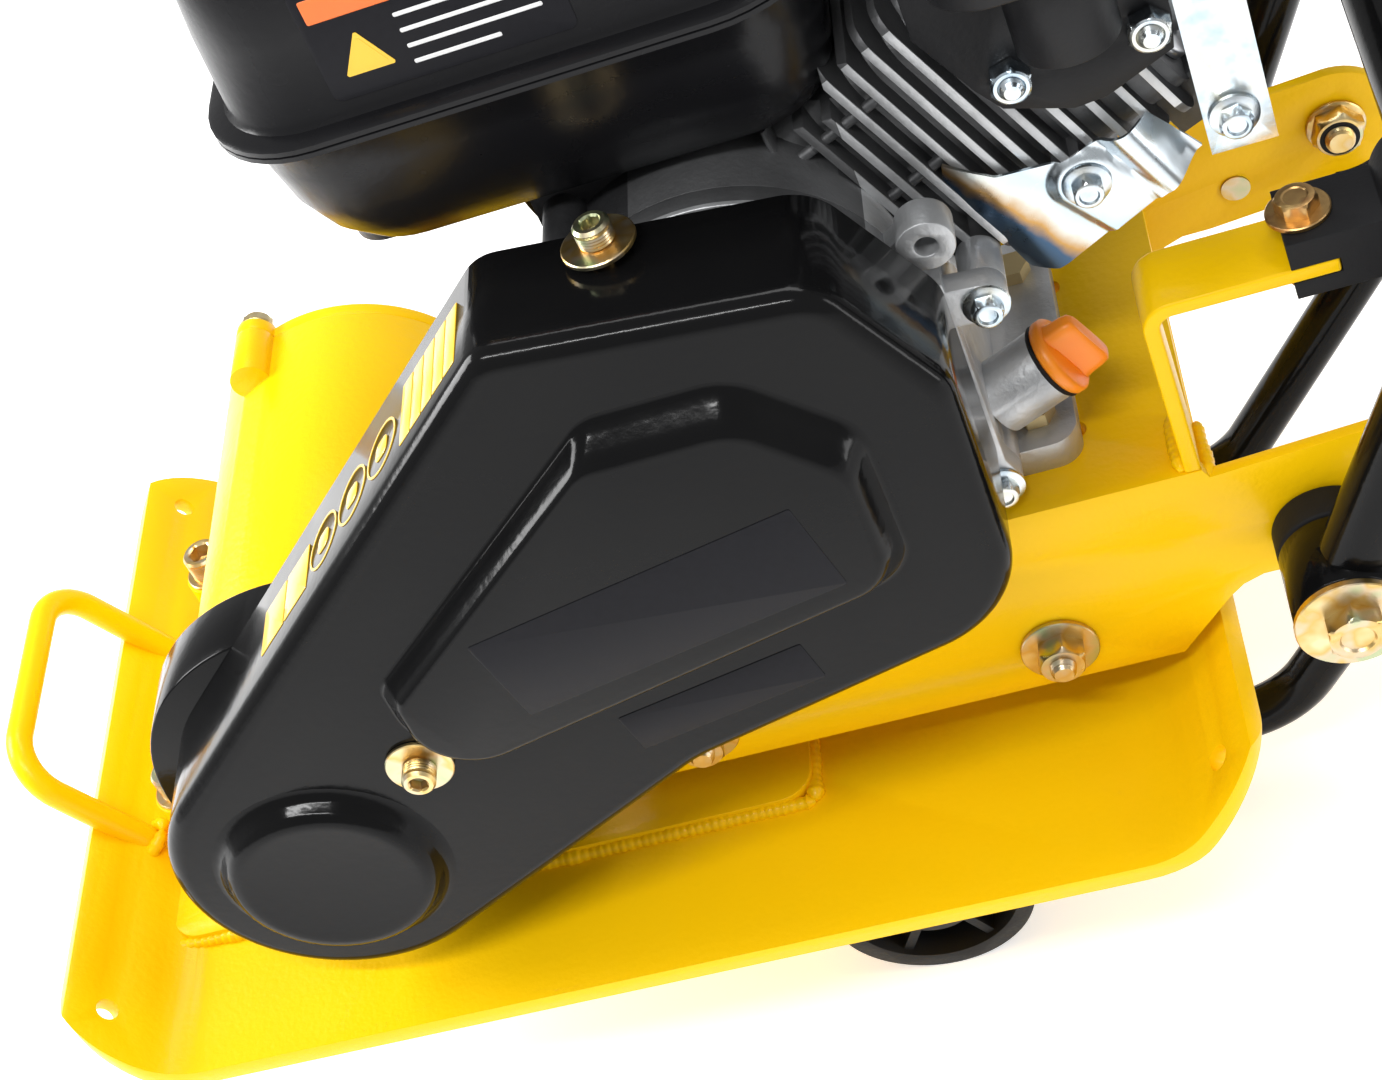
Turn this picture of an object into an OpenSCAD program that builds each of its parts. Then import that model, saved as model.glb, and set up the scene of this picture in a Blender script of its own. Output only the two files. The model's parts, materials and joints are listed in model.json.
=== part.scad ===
/* [Base plate] */
// Length of the sole plate, front lip to rear lip
plate_l = 500; // [480:5:520]
// Width of the sole plate
plate_w = 350; // [340:5:360]
// Thickness of the sole plate
plate_t = 8; // [6:1:10]
// Length of the flat part of the sole
flat_l = 424; // [410:2:430]
// Corner radius of the sole plate in plan
plate_corner_r = 35; // [25:5:45]
// Radius of the four lip holes
lip_hole_r = 5; // [4:0.5:6]

/* [Exciter] */
// Distance of the exciter axis in front of the plate's middle
exciter_x = -99; // [-102:1:-97]
// Height of the exciter axis above the sole
exciter_z = 93; // [93:1:96]
// Outer radius of the exciter housing
exciter_r = 65; // [62:1:66]

/* [Engine] */
// Distance of the crankshaft axis behind the plate's middle
crank_x = 115; // [113:1:117]
// Height of the crankshaft axis above the sole
crank_z = 236; // [235:1:238]
// Tilt of the cylinder above the horizontal, in degrees
cylinder_tilt = 25; // [24:1:26]
// Spacing of the engine bolts along the machine
engine_bolts_x = 162; // [160:1:164]
// Spacing of the engine bolts across the machine
engine_bolts_y = 82; // [80:1:84]

/* [Handle and wheels] */
// Lean of the handle above the horizontal, in degrees
handle_lean = 64; // [63:1:65]
// Height of the handle's top tube above the sole
handle_top_z = 835; // [780:5:880]
// Outer diameter of the handle tube
handle_d = 27; // [25:1:28]
// Outer diameter of the transport wheels
wheel_d = 84; // [80:1:84]

/* [Hidden] */
$fn = 64;

yellow = "gold";
black = "#1b1b1d";
casting = "#8f9194";
zinc = "#c9d2dc";
passivated = "#c9a24a";
rubber = "#262626";
run_gap = 0.05;             // radial clearance of a running fit

// Sole plate
bend_r = 40;                // outer radius of the lip bends
lip_top_z = 38;             // height of the lip's outer edge
lip_hole_x = 234;
lip_hole_y = 150;
lip_mid_z = lip_hole_x - flat_l / 2 + plate_t / sqrt(2);
pad_t = 6;
pad_x = [-215, 72];
pad_half_w = 108;
pad_z = plate_t + pad_t;
bar_d = 12;
bar_front_x = -262;
bar_top_z = 85;
bar_half_y = 56;

// Exciter
housing_y = [-72, 96];
foot_x = 100;               // screw positions either side of the exciter axis
foot_y = [-54, 78];
foot_top_z = 30;
boss_top_z = 48;
screw_r = 6;
cover_angles = [25, 115, 205, 295];
cover_bolt_pcd_r = 68;
shaft_r = 15;
bearing_r = 36;
bearing_w = 19;

// Belt drive
belt_y = -130;
belt_w = 10;
belt_t = 8;
exciter_belt_r = 32;
clutch_belt_r = 50;
drum_r = 60;
pto_r = 9.5;

// Guard
guard_front_y = -158;
guard_back_y = -104;
guard_wall = 2.5;
// Corners as [x, z, rounding radius]; the guard's lower end is an arc round the exciter axis
guard_end_r = 65;
guard_corners = [[54, 102, 60], [187, 137, 44], [189, 248, 24], [160, 301, 22], [48, 314, 16]];
panel_corners = [[-41, 182, 12], [71, 277, 18], [122, 277, 26], [156, 242, 22], [156, 175, 22], [-41, 128, 30]];
panel_h = 12;
bulge_h = 9;
dish_r = 77;
dish_y = -75;

// Bed
deck_z = [124, 130];
bed_half_w = 102;
bed_side_t = 5;
bed_x = [-15, 253];
mount_x = [40, 184];
mount_z = 57.5;
lug_y = [56, 62];
handle_pivot = [290, 88];
frame_pivot = [334, 106];
strap_y = [-102, -72];
block_x = [299, 356];
strap_z = 207;
block_bolt = [306, -86.5];
engine_mid_x = 119;
engine_mid_y = -24;

// Engine
case_r = 62;
case_y = [-86, 50];
case_x = [50, 188];
side_bolts = [[200, 227], [184, 142], [58, 150], [70, 288]];
side_lug_r = 8;
free_boss = [188, 261];
oil_neck = [190, -72, 162];
shield_bolt = [121, -42];   // along and across the cylinder
bracket_bolt = [294, 260];
exhaust_port = [251, 304];
exhaust_studs = [[229, 302], [275, 306]];
pipe_y = -88;
cover_y = -96;
cyl_y = -20;
bore_r = 34;
head_s = [125, 165];
tank_seam_z = 365;
tank_x = [-30, 190];
tank_half_w = 95;

// Wheels
wheel_x = 103;
wheel_z = -wheel_d / 2 - 2;
wheel_w = 30;
wheel_outer_y = 130;
axle_r = 8;
arm_d = 20;
arm_y = 70;

// Handle
leg_y = 133;
cross_x = 352;
cross_z = handle_pivot[1] + (cross_x - handle_pivot[0]) * tan(handle_lean);
handle_top_x = handle_pivot[0] + (handle_top_z - handle_pivot[1]) / tan(handle_lean);
cross_d = 22;

// The part's origin: middle of the machine's length, on the ground under the wheels
front_x = bar_front_x - bar_d / 2;
rear_x = handle_top_x + handle_d / 2;
mid_x = (front_x + rear_x) / 2;
ground = wheel_d / 2 - wheel_z;

module on_ground() { translate([-mid_x, 0, ground]) children(); }

// A cylinder along Y from y0 to y1, centred on [x, z]
module y_rod(x, z, y0, y1, r, fn = 64) {
    translate([x, y0, z]) rotate([-90, 0, 0]) cylinder(r = r, h = y1 - y0, $fn = fn);
}

// A ring along Y
module y_ring(x, z, y0, y1, r, inner) {
    difference() {
        y_rod(x, z, y0, y1, r);
        y_rod(x, z, y0 - 1, y1 + 1, inner);
    }
}

// A slab from z0 to z1 with rounded corners in plan
module slab(x0, x1, y0, y1, z0, z1, r) {
    translate([x0 + r, y0, z0]) cube([x1 - x0 - 2 * r, y1 - y0, z1 - z0]);
    translate([x0, y0 + r, z0]) cube([x1 - x0, y1 - y0 - 2 * r, z1 - z0]);
    for (x = [x0 + r, x1 - r], y = [y0 + r, y1 - r]) translate([x, y, z0]) cylinder(r = r, h = z1 - z0);
}

// A plate in the X-Z plane from y0 to y1, cut to a 2D outline
module xz_plate(y0, y1) { translate([0, y1, 0]) rotate([90, 0, 0]) linear_extrude(y1 - y0) children(); }

// A capsule outline between two points
module link(a, b, r) {
    d = b - a;
    translate(a) rotate(atan2(d[1], d[0])) translate([0, -r]) square([norm(d), 2 * r]);
    for (p = [a, b]) translate(p) circle(r);
}

function unit(v) = v / norm(v);
function wrap(list, i) = list[(i + len(list)) % len(list)];

// Points of the arc that rounds a corner b of radius r between its neighbours a and c
function fillet(a, b, c, r) =
    let (u = unit(a - b), w = unit(c - b), half = acos(u * w) / 2, m = unit(u + w), o = b + m * r / sin(half),
        side = cross(u, w) > 0 ? -1 : 1, from = atan2(-m[1], -m[0]) - side * (90 - half))
    [for (i = [0 : 6]) o + r * [cos(from + side * i * (90 - half) / 3), sin(from + side * i * (90 - half) / 3)]];
function flat2(p) = [p[0], p[1]];
function rounded(list) = [for (i = [0 : len(list) - 1])
    each fillet(flat2(wrap(list, i - 1)), flat2(list[i]), flat2(wrap(list, i + 1)), list[i][2])];

// The stations [point, direction] of a round bend at corner i of the path
function bend_at(p, i, bend) =
    let (u = unit(p[i] - p[i - 1]), w = unit(p[i + 1] - p[i]), turn = acos(u * w),
        e = unit(w - (u * w) * u), c = p[i] - bend * tan(turn / 2) * u + bend * e, steps = ceil(turn / 9))
    [for (j = [0 : steps]) let (a = turn * j / steps)
        [c + bend * (sin(a) * u - cos(a) * e), cos(a) * u + sin(a) * e]];

// A round rod that follows a flat path with round bends; n is the normal of the path's plane
module rod(p, r, bend, n, sides = 20) {
    last = len(p) - 1;
    stations = concat([[p[0], unit(p[1] - p[0])]],
        [for (i = [1 : 1 : last - 1]) each bend_at(p, i, bend)],
        [[p[last], unit(p[last] - p[last - 1])]]);
    m = len(stations);
    polyhedron(
        [for (q = stations) for (k = [0 : sides - 1])
            q[0] + r * (cos(360 * k / sides) * n + sin(360 * k / sides) * cross(q[1], n))],
        concat([[for (k = [0 : sides - 1]) k]], [[for (k = [sides - 1 : -1 : 0]) (m - 1) * sides + k]],
            [for (i = [0 : m - 2]) for (k = [0 : sides - 1])
                [i * sides + k, (i + 1) * sides + k, (i + 1) * sides + (k + 1) % sides, i * sides + (k + 1) % sides]]));
}

// A hexagon head or nut along Y, af across its flats
module y_hex(x, z, y0, y1, af) { y_rod(x, z, y0, y1, af / sqrt(3), 6); }

// --- Base ---------------------------------------------------------------

function half_profile() = let (c = flat_l / 2 - bend_r * tan(22.5), e = plate_l / 2, k = plate_t / sqrt(2))
    concat([for (i = [0 : 6]) [c + bend_r * sin(i * 7.5), bend_r - bend_r * cos(i * 7.5)]],
        [[e, lip_top_z], [e - k, lip_top_z + k]],
        [for (i = [6 : -1 : 0]) [c + (bend_r - plate_t) * sin(i * 7.5),
            bend_r - (bend_r - plate_t) * cos(i * 7.5)]]);

module plate_blank() {
    right = half_profile();
    n = len(right);
    xz_plate(-plate_w / 2, plate_w / 2)
        polygon(concat(right, [for (i = [n - 1 : -1 : 0]) [-right[i][0], right[i][1]]]));
}

module base_plate() {
    color(yellow) difference() {
        intersection() {
            plate_blank();
            slab(-plate_l / 2, plate_l / 2, -plate_w / 2, plate_w / 2, -1, 60, plate_corner_r);
        }
        for (sx = [-1, 1], sy = [-1, 1])
            translate([sx * lip_hole_x, sy * lip_hole_y, lip_mid_z]) rotate([0, -sx * 45, 0])
                cylinder(r = lip_hole_r, h = 30, center = true);
        for (sx = [-1, 1], y = foot_y) translate([exciter_x + sx * foot_x, y, 2]) cylinder(r = screw_r, h = 20);
    }
}

module exciter_pad() {
    color(yellow) difference() {
        slab(pad_x[0], pad_x[1], -pad_half_w, pad_half_w, plate_t, pad_z, 14);
        plate_blank();
        for (sx = [-1, 1], y = foot_y) translate([exciter_x + sx * foot_x, y, 0]) cylinder(r = screw_r, h = 40);
    }
}

module lifting_bar() {
    foot = [-224, 17];
    color(yellow) rod([[foot[0], -bar_half_y, foot[1]], [bar_front_x, -bar_half_y, bar_top_z],
        [bar_front_x, bar_half_y, bar_top_z], [foot[0], bar_half_y, foot[1]]], bar_d / 2, 22,
        unit([bar_top_z - foot[1], 0, foot[0] - bar_front_x]));
}

// --- Exciter ------------------------------------------------------------

module exciter_housing() {
    wall_y = housing_y[0] + 8 + bearing_w;
    color(yellow) difference() {
        union() {
            y_rod(exciter_x, exciter_z, housing_y[0], housing_y[1], exciter_r);
            slab(exciter_x - 112, exciter_x + 112, housing_y[0] + 4, housing_y[1] - 4, pad_z, foot_top_z, 13);
            translate([exciter_x - 50, housing_y[0] + 8, pad_z])
                cube([100, housing_y[1] - housing_y[0] - 16, 38]);
            for (sx = [-1, 1], y = foot_y)
                translate([exciter_x + sx * foot_x, y, pad_z]) cylinder(r = 13, h = boss_top_z - pad_z);
            for (a = cover_angles)
                y_rod(exciter_x + cover_bolt_pcd_r * cos(a), exciter_z + cover_bolt_pcd_r * sin(a),
                    70, housing_y[1], 9);
        }
        y_rod(exciter_x, exciter_z, wall_y, housing_y[1] + 1, 50);
        y_rod(exciter_x, exciter_z, housing_y[0] + 8, wall_y + 1, bearing_r);
        y_rod(exciter_x, exciter_z, housing_y[0] - 1, housing_y[0] + 9, 24);
        for (sx = [-1, 1], y = foot_y) translate([exciter_x + sx * foot_x, y, 0]) cylinder(r = screw_r, h = 60);
        for (a = cover_angles)
            y_rod(exciter_x + cover_bolt_pcd_r * cos(a), exciter_z + cover_bolt_pcd_r * sin(a), 76, 100, 4);
    }
}

module exciter_end_cover() {
    color(yellow) difference() {
        union() {
            y_rod(exciter_x, exciter_z, housing_y[1], housing_y[1] + 7, exciter_r);
            y_rod(exciter_x, exciter_z, 76, housing_y[1], 50);
            for (a = cover_angles)
                y_rod(exciter_x + cover_bolt_pcd_r * cos(a), exciter_z + cover_bolt_pcd_r * sin(a),
                    housing_y[1], housing_y[1] + 7, 9);
        }
        y_rod(exciter_x, exciter_z, 75, 76 + bearing_w, bearing_r);
        for (a = cover_angles)
            y_rod(exciter_x + cover_bolt_pcd_r * cos(a), exciter_z + cover_bolt_pcd_r * sin(a), 90, 110, 4);
    }
}

module exciter_bearings() {
    color("silver") for (y = [housing_y[0] + 8, 76])
        y_ring(exciter_x, exciter_z, y, y + bearing_w, bearing_r, shaft_r);
}

module exciter_seal() {
    color(rubber) y_ring(exciter_x, exciter_z, housing_y[0], housing_y[0] + 8, 24, shaft_r);
}

module exciter_screws() {
    color(passivated) for (sx = [-1, 1], y = foot_y) translate([exciter_x + sx * foot_x, y, 0]) difference() {
        union() {
            translate([0, 0, 4]) cylinder(r = screw_r, h = boss_top_z - 4);
            translate([0, 0, boss_top_z]) cylinder(r = 11, h = 2);
            translate([0, 0, boss_top_z + 2]) cylinder(r = 9, h = 12);
        }
        translate([0, 0, boss_top_z + 8]) cylinder(r = 5.8, h = 8, $fn = 6);
    }
}

module cover_bolts() {
    color(passivated) for (a = cover_angles) {
        x = exciter_x + cover_bolt_pcd_r * cos(a);
        z = exciter_z + cover_bolt_pcd_r * sin(a);
        y_rod(x, z, 78, housing_y[1] + 7, 4);
        y_rod(x, z, housing_y[1] + 7, housing_y[1] + 8.5, 8.5);
        y_hex(x, z, housing_y[1] + 8.5, housing_y[1] + 14, 13);
    }
}

module exciter_shaft() {
    color("silver") {
        y_rod(exciter_x, exciter_z, -146, 93, shaft_r - run_gap);
        difference() {
            y_rod(exciter_x, exciter_z, -38, 70, 46);
            translate([exciter_x - 60, -60, exciter_z + 8]) cube([120, 150, 60]);
        }
    }
}

// A grooved belt pulley along Y
module grooved(x, z, y0, y1, r, belt_r) {
    difference() {
        y_rod(x, z, y0, y1, r);
        y_ring(x, z, belt_y - belt_w / 2 - 0.6, belt_y + belt_w / 2 + 0.6, r + 1, belt_r - 0.4);
    }
}

module exciter_pulley() {
    color(casting) difference() {
        grooved(exciter_x, exciter_z, -143, -114, 43, exciter_belt_r);
        y_rod(exciter_x, exciter_z, -150, -110, shaft_r - run_gap);
    }
}

// --- Bed and brackets ---------------------------------------------------

module side_outline() {
    polygon([[bed_x[0], deck_z[1]], [bed_x[0], 62], [9, 38], [228, 38], [250, 62], [256, 67], [264, 70], [276, 70],
        [300, 72], [330, 81], [334, 131], [255, 125.6], [bed_x[1], deck_z[1]]]);
    translate(frame_pivot) circle(25);
}

module engine_bed() {
    color(yellow) difference() {
        union() {
            translate([bed_x[0], -bed_half_w, deck_z[0]])
                cube([bed_x[1] - bed_x[0], 2 * bed_half_w, deck_z[1] - deck_z[0]]);
            xz_plate(-bed_half_w, bed_side_t - bed_half_w) side_outline();
            xz_plate(bed_half_w - bed_side_t, bed_half_w) side_outline();
        }
        for (x = mount_x) y_rod(x, mount_z, -120, 120, 5);
        y_rod(handle_pivot[0], handle_pivot[1], -120, 120, 6);
        y_rod(frame_pivot[0], frame_pivot[1], -120, 120, 6);
        for (sx = [-1, 1], sy = [-1, 1])
            translate([engine_mid_x + sx * engine_bolts_x / 2, engine_mid_y + sy * engine_bolts_y / 2, 0])
                slab(-16, 16, -4.5, 4.5, deck_z[0] - 1, deck_z[1] + 1, 4.4);
    }
}

module mount_lugs() {
    color(yellow) for (i = [0, 1], s = [-1, 1]) {
        z0 = i == 0 ? pad_z : plate_t;
        half = i == 0 ? 22 : 25;
        difference() {
            translate([mount_x[i] - half, s > 0 ? lug_y[0] : -lug_y[1], z0]) cube([2 * half, 6, 82 - z0]);
            y_rod(mount_x[i], mount_z, -80, 80, 5);
            plate_blank();
        }
    }
}

module rubber_mounts() {
    color(rubber) for (x = mount_x, s = [0, 1]) mirror([0, s, 0]) difference() {
        y_rod(x, mount_z, lug_y[1], bed_half_w - bed_side_t, 19);
        y_rod(x, mount_z, lug_y[1] - 1, lug_y[1] + 12, 5);
        y_rod(x, mount_z, bed_half_w - bed_side_t - 12, bed_half_w, 5);
    }
}

module mount_nuts() {
    color(passivated) for (x = mount_x, s = [0, 1]) mirror([0, s, 0]) {
        y_rod(x, mount_z, 85, 117, 5);
        y_rod(x, mount_z, bed_half_w, bed_half_w + 2.5, 15);
        y_hex(x, mount_z, bed_half_w + 2.5, bed_half_w + 11, 17);
        y_rod(x, mount_z, 46, lug_y[1] + 12, 5);
        y_hex(x, mount_z, 47.5, lug_y[0], 17);
    }
}

module stop_strap() {
    w = strap_y[1] - strap_y[0];
    color(yellow) difference() {
        union() {
            translate([247, strap_y[0], deck_z[1]]) cube([6, w, strap_z + 3 - deck_z[1]]);
            translate([247, strap_y[0], strap_z - 3]) cube([68, w, 6]);
        }
        translate([block_bolt[0], block_bolt[1], 0]) cylinder(r = 4, h = 300);
    }
}

module stop_block() {
    color(rubber) difference() {
        union() {
            translate([block_x[0], strap_y[0], strap_z - 10])
                cube([block_x[1] - block_x[0], strap_y[1] - strap_y[0], 24]);
            y_rod(cross_x, cross_z, strap_y[0], strap_y[1], 21);
        }
        translate([260, strap_y[0] - 1, strap_z - 3]) cube([55.3, 40, 6]);
        translate([block_bolt[0], block_bolt[1], 0]) cylinder(r = 4, h = 300);
        y_rod(cross_x, cross_z, -110, -60, cross_d / 2 + 0.5);
        translate([cross_x, -85, cross_z]) rotate([0, 90 - handle_lean, 0])
            translate([0, -30, -cross_d / 2 - 0.5]) cube([40, 60, cross_d + 1]);
        translate([cross_x, -85, cross_z]) rotate([0, 90 - handle_lean, 0])
            translate([6, -30, -cross_d / 2 - 2]) cube([40, 60, cross_d + 4]);
    }
}

module stop_block_bolt() {
    color(passivated) translate([block_bolt[0], block_bolt[1], 0]) {
        translate([0, 0, strap_z - 20]) cylinder(r = 4, h = 34);
        translate([0, 0, strap_z + 14]) cylinder(r = 11, h = 2);
        translate([0, 0, strap_z + 16]) cylinder(r = 13 / sqrt(3), h = 5.5, $fn = 6);
        translate([0, 0, strap_z - 17]) cylinder(r = 13 / sqrt(3), h = 6.5, $fn = 6);
    }
}

module engine_bolts() {
    color(passivated) for (sx = [-1, 1], sy = [-1, 1])
        translate([engine_mid_x + sx * engine_bolts_x / 2, engine_mid_y + sy * engine_bolts_y / 2, 0]) {
            translate([0, 0, deck_z[0] - 11]) cylinder(r = 4, h = 32);
            translate([0, 0, deck_z[1] + 12]) cylinder(r = 13 / sqrt(3), h = 5.5, $fn = 6);
            translate([0, 0, deck_z[0] - 8]) cylinder(r = 13 / sqrt(3), h = 8, $fn = 6);
        }
}

// --- Engine -------------------------------------------------------------

// Draws its children with X along the cylinder, from the crankshaft axis
module along_cylinder() { translate([crank_x, 0, crank_z]) rotate([0, -cylinder_tilt, 0]) children(); }

// A rounded block across the cylinder from s0 to s1 along it
module cyl_block(s0, s1, half_y, half_t, r) {
    translate([s0, cyl_y, 0]) rotate([0, 90, 0])
        slab(-half_t, half_t, -half_y, half_y, 0, s1 - s0, r);
}

module side_bolt_places() { for (p = side_bolts) translate([p[0], 0, p[1]]) children(); }

module engine_block() {
    color(casting) difference() {
        union() {
            y_rod(crank_x, crank_z, case_y[0], case_y[1], case_r + 2);
            translate([case_x[0], case_y[0], deck_z[1]]) cube([case_x[1] - case_x[0], case_y[1] - case_y[0], 106]);
            slab(24, 214, case_y[0] + 4, 36, deck_z[1], deck_z[1] + 12, 10);
            slab(-10, 94, -48, 40, 290, 300, 14);
            translate([60, -60, 285]) cube([40, 100, 15]);
            along_cylinder() {
                cyl_block(40, head_s[0], 40, 42, 14);
                for (i = [0 : 6]) translate([9 * i, 0, 0]) cyl_block(64, 67, 49.5, 54, 10);
                translate([shield_bolt[0] - 7, -74.5, shield_bolt[1] - 8]) cube([11, 30, 16]);
            }
            side_bolt_places() y_rod(0, 0, case_y[0], -50, side_lug_r);
            translate(oil_neck) rotate([0, 90 - cylinder_tilt, 0]) cylinder(r = 14, h = 24);
        }
        y_rod(crank_x, crank_z, case_y[0] - 1, case_y[1] - 8, case_r - 6);
        translate([case_x[0] + 8, case_y[0] - 1, deck_z[1] + 8]) cube([104, case_y[1] - case_y[0] - 9, 60]);
        y_rod(crank_x, crank_z, 30, 60, 12.5 + run_gap);
        along_cylinder() translate([30, cyl_y, 0]) rotate([0, 90, 0]) cylinder(r = bore_r + run_gap, h = 100);
        for (sx = [-1, 1], sy = [-1, 1])
            translate([engine_mid_x + sx * engine_bolts_x / 2, engine_mid_y + sy * engine_bolts_y / 2, 120])
                cylinder(r = 4.5, h = 30);
        side_bolt_places() y_rod(0, 0, -100, -70, 3);
        along_cylinder() y_rod(shield_bolt[0], shield_bolt[1], -80, -59, 3);
        translate(oil_neck) rotate([0, 90 - cylinder_tilt, 0]) cylinder(r = 10, h = 40);
        translate([-60, -100, 300]) cube([230, 200, 100]);
        translate([-60, -100, 319]) cube([242, 200, 100]);
        translate([-60, -100, 361]) cube([252, 200, 100]);
    }
}

module side_cover() {
    color(casting) difference() {
        union() {
            y_rod(crank_x, crank_z, cover_y, case_y[0], case_r + 2);
            translate([case_x[0], cover_y, deck_z[1] + 6])
                cube([case_x[1] - case_x[0], case_y[0] - cover_y, 104]);
            xz_plate(cover_y, case_y[0]) for (p = concat(side_bolts, [free_boss])) link([150, 232], p, side_lug_r);
            y_rod(free_boss[0], free_boss[1], -100, case_y[0], 10);
        }
        y_rod(crank_x, crank_z, -110, -80, 12.5 + run_gap);
        side_bolt_places() y_rod(0, 0, -110, -80, 3);
        y_rod(free_boss[0], free_boss[1], -101, -87, 4);
    }
}

module flange_bolt(x, z, y, shank) {
    y_rod(x, z, y - 1.5, y, 8.5);
    y_hex(x, z, y - 7, y - 1.5, 10);
    y_rod(x, z, y, y + shank, 3);
}

module flange_bolts() {
    color(zinc) {
        side_bolt_places() flange_bolt(0, 0, cover_y, 25);
        along_cylinder() flange_bolt(shield_bolt[0], shield_bolt[1], -76, 16);
        flange_bolt(bracket_bolt[0], bracket_bolt[1], -76, 15);
    }
}

module crankshaft() {
    color("silver") {
        y_rod(crank_x, crank_z, -150, -97, pto_r);
        y_rod(crank_x, crank_z, -97, -40, 12.5);
        y_rod(crank_x, crank_z, 0, 92, 12.5);
        for (y = [-40, -10]) y_rod(crank_x, crank_z, y, y + 10, 28);
        y_rod(crank_x - 16 * cos(cylinder_tilt), crank_z - 16 * sin(cylinder_tilt), -30, -10, 10);
    }
}

module flywheel() {
    color(casting) difference() {
        union() {
            y_rod(crank_x, crank_z, 62, 78, 61);
            for (i = [0 : 11]) translate([crank_x, 0, crank_z]) rotate([0, i * 30, 0]) translate([34, 78, -1.5]) cube([26, 14, 3]);
        }
        y_rod(crank_x, crank_z, 60, 80, 12.5);
    }
}

module piston() {
    color("silver") along_cylinder() translate([57, cyl_y, 0]) rotate([0, 90, 0]) difference() {
        cylinder(r = bore_r, h = 40);
        translate([0, 0, -1]) cylinder(r = 28, h = 34);
    }
}

module cylinder_head() {
    color(casting) difference() {
        union() {
            along_cylinder() {
                cyl_block(head_s[0], head_s[1], 44, 46, 12);
                for (i = [0 : 3]) translate([10 * i, 0, 0]) cyl_block(128, 131, 49, 51.5, 10);
            }
            y_rod(bracket_bolt[0], bracket_bolt[1], -74, -30, 9);
            along_cylinder() translate([150, -58, -61]) cube([19, 36, 19]);
            y_rod(exhaust_port[0], exhaust_port[1], -70, -59, 20);
        }
        y_rod(exhaust_port[0], exhaust_port[1], -80, -40, 13);
        for (p = exhaust_studs) y_rod(p[0], p[1], -80, -57, 4);
        y_rod(bracket_bolt[0], bracket_bolt[1], -80, -61, 3);
        along_cylinder() translate([120, cyl_y, 0]) rotate([0, 90, 0]) cylinder(r = 30, h = 14);
    }
}

module rocker_cover() {
    color("silver") along_cylinder() difference() {
        union() {
            cyl_block(head_s[1], head_s[1] + 4, 38, 40, 10);
            cyl_block(head_s[1] + 4, head_s[1] + 30, 33, 35, 12);
        }
        cyl_block(head_s[1] - 1, head_s[1] + 28, 31, 33, 10);
    }
}

module exhaust_elbow() {
    color(black) difference() {
        union() {
            xz_plate(-78, -70) polygon([[203, 326], [217, 300], [224, 290], [246, 282], [257, 283], [281, 294],
                [283, 306], [283, 345], [203, 345]]);
            translate([exhaust_port[0], pipe_y, 318]) cylinder(r = 17, h = 34);
        }
        translate([exhaust_port[0], pipe_y, 322]) cylinder(r = 14, h = 60);
        for (p = exhaust_studs) y_rod(p[0], p[1], -90, -60, 4);
        y_rod(exhaust_port[0], exhaust_port[1], -75, -60, 13);
    }
}

module exhaust_nuts() {
    color(zinc) for (p = exhaust_studs) {
        y_rod(p[0], p[1], -88, -57, 4);
        y_hex(p[0], p[1], -85, -78, 13);
    }
}

module muffler() {
    color(black) difference() {
        slab(212, 330, -112, 6, 352, 440, 22);
        slab(214, 328, -110, 4, 354, 438, 20);
        translate([exhaust_port[0], pipe_y, 340]) cylinder(r = 14, h = 20);
    }
}

module air_shield() {
    color(zinc) difference() {
        along_cylinder() union() {
            xz_plate(-76, -74.5) polygon([[82, -62], [90, -67], [155, -62], [151, -37], [140, -33], [119, -30],
                [100, -20], [90, -4], [86, -10]]);
            translate([90, -76, -67]) cube([62, 100, 1.5]);
        }
        along_cylinder() y_rod(shield_bolt[0], shield_bolt[1], -80, -70, 3);
    }
}

module upright_bracket() {
    color(zinc) difference() {
        translate([284, -76, 246]) cube([22, 2, 106]);
        y_rod(bracket_bolt[0], bracket_bolt[1], -80, -70, 3);
    }
}

module fan_housing() {
    color(black) difference() {
        y_rod(crank_x, crank_z, case_y[1], 118, 92);
        y_rod(crank_x, crank_z, case_y[1] + 2, 119, 89);
        y_rod(crank_x, crank_z, case_y[1] - 1, case_y[1] + 3, 20);
        translate([0, 40, tank_seam_z - 66]) cube([300, 100, 60]);
    }
}

module recoil_cover() {
    color(black) difference() {
        union() {
            y_rod(crank_x, crank_z, 118, 130, 92);
            y_rod(crank_x, crank_z, 130, 155, 70);
            y_rod(crank_x, crank_z, 155, 162, 30);
        }
        y_rod(crank_x, crank_z, 117, 128, 88);
        y_rod(crank_x, crank_z, 127, 152, 67);
        for (i = [0 : 11]) translate([crank_x, 0, crank_z]) rotate([0, i * 30, 0]) translate([42, 140, -2.5]) cube([20, 30, 5]);
        translate([0, 40, tank_seam_z - 66]) cube([300, 100, 60]);
        translate([crank_x - 54, 142, crank_z]) cylinder(r = 3, h = 100);
    }
}

module starter_grip() {
    color(rubber) translate([crank_x - 54, 142, 0]) {
        translate([-8, -18, 302]) cube([16, 36, 14]);
        translate([0, 0, 282]) cylinder(r = 2.5, h = 21);
    }
}

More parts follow.
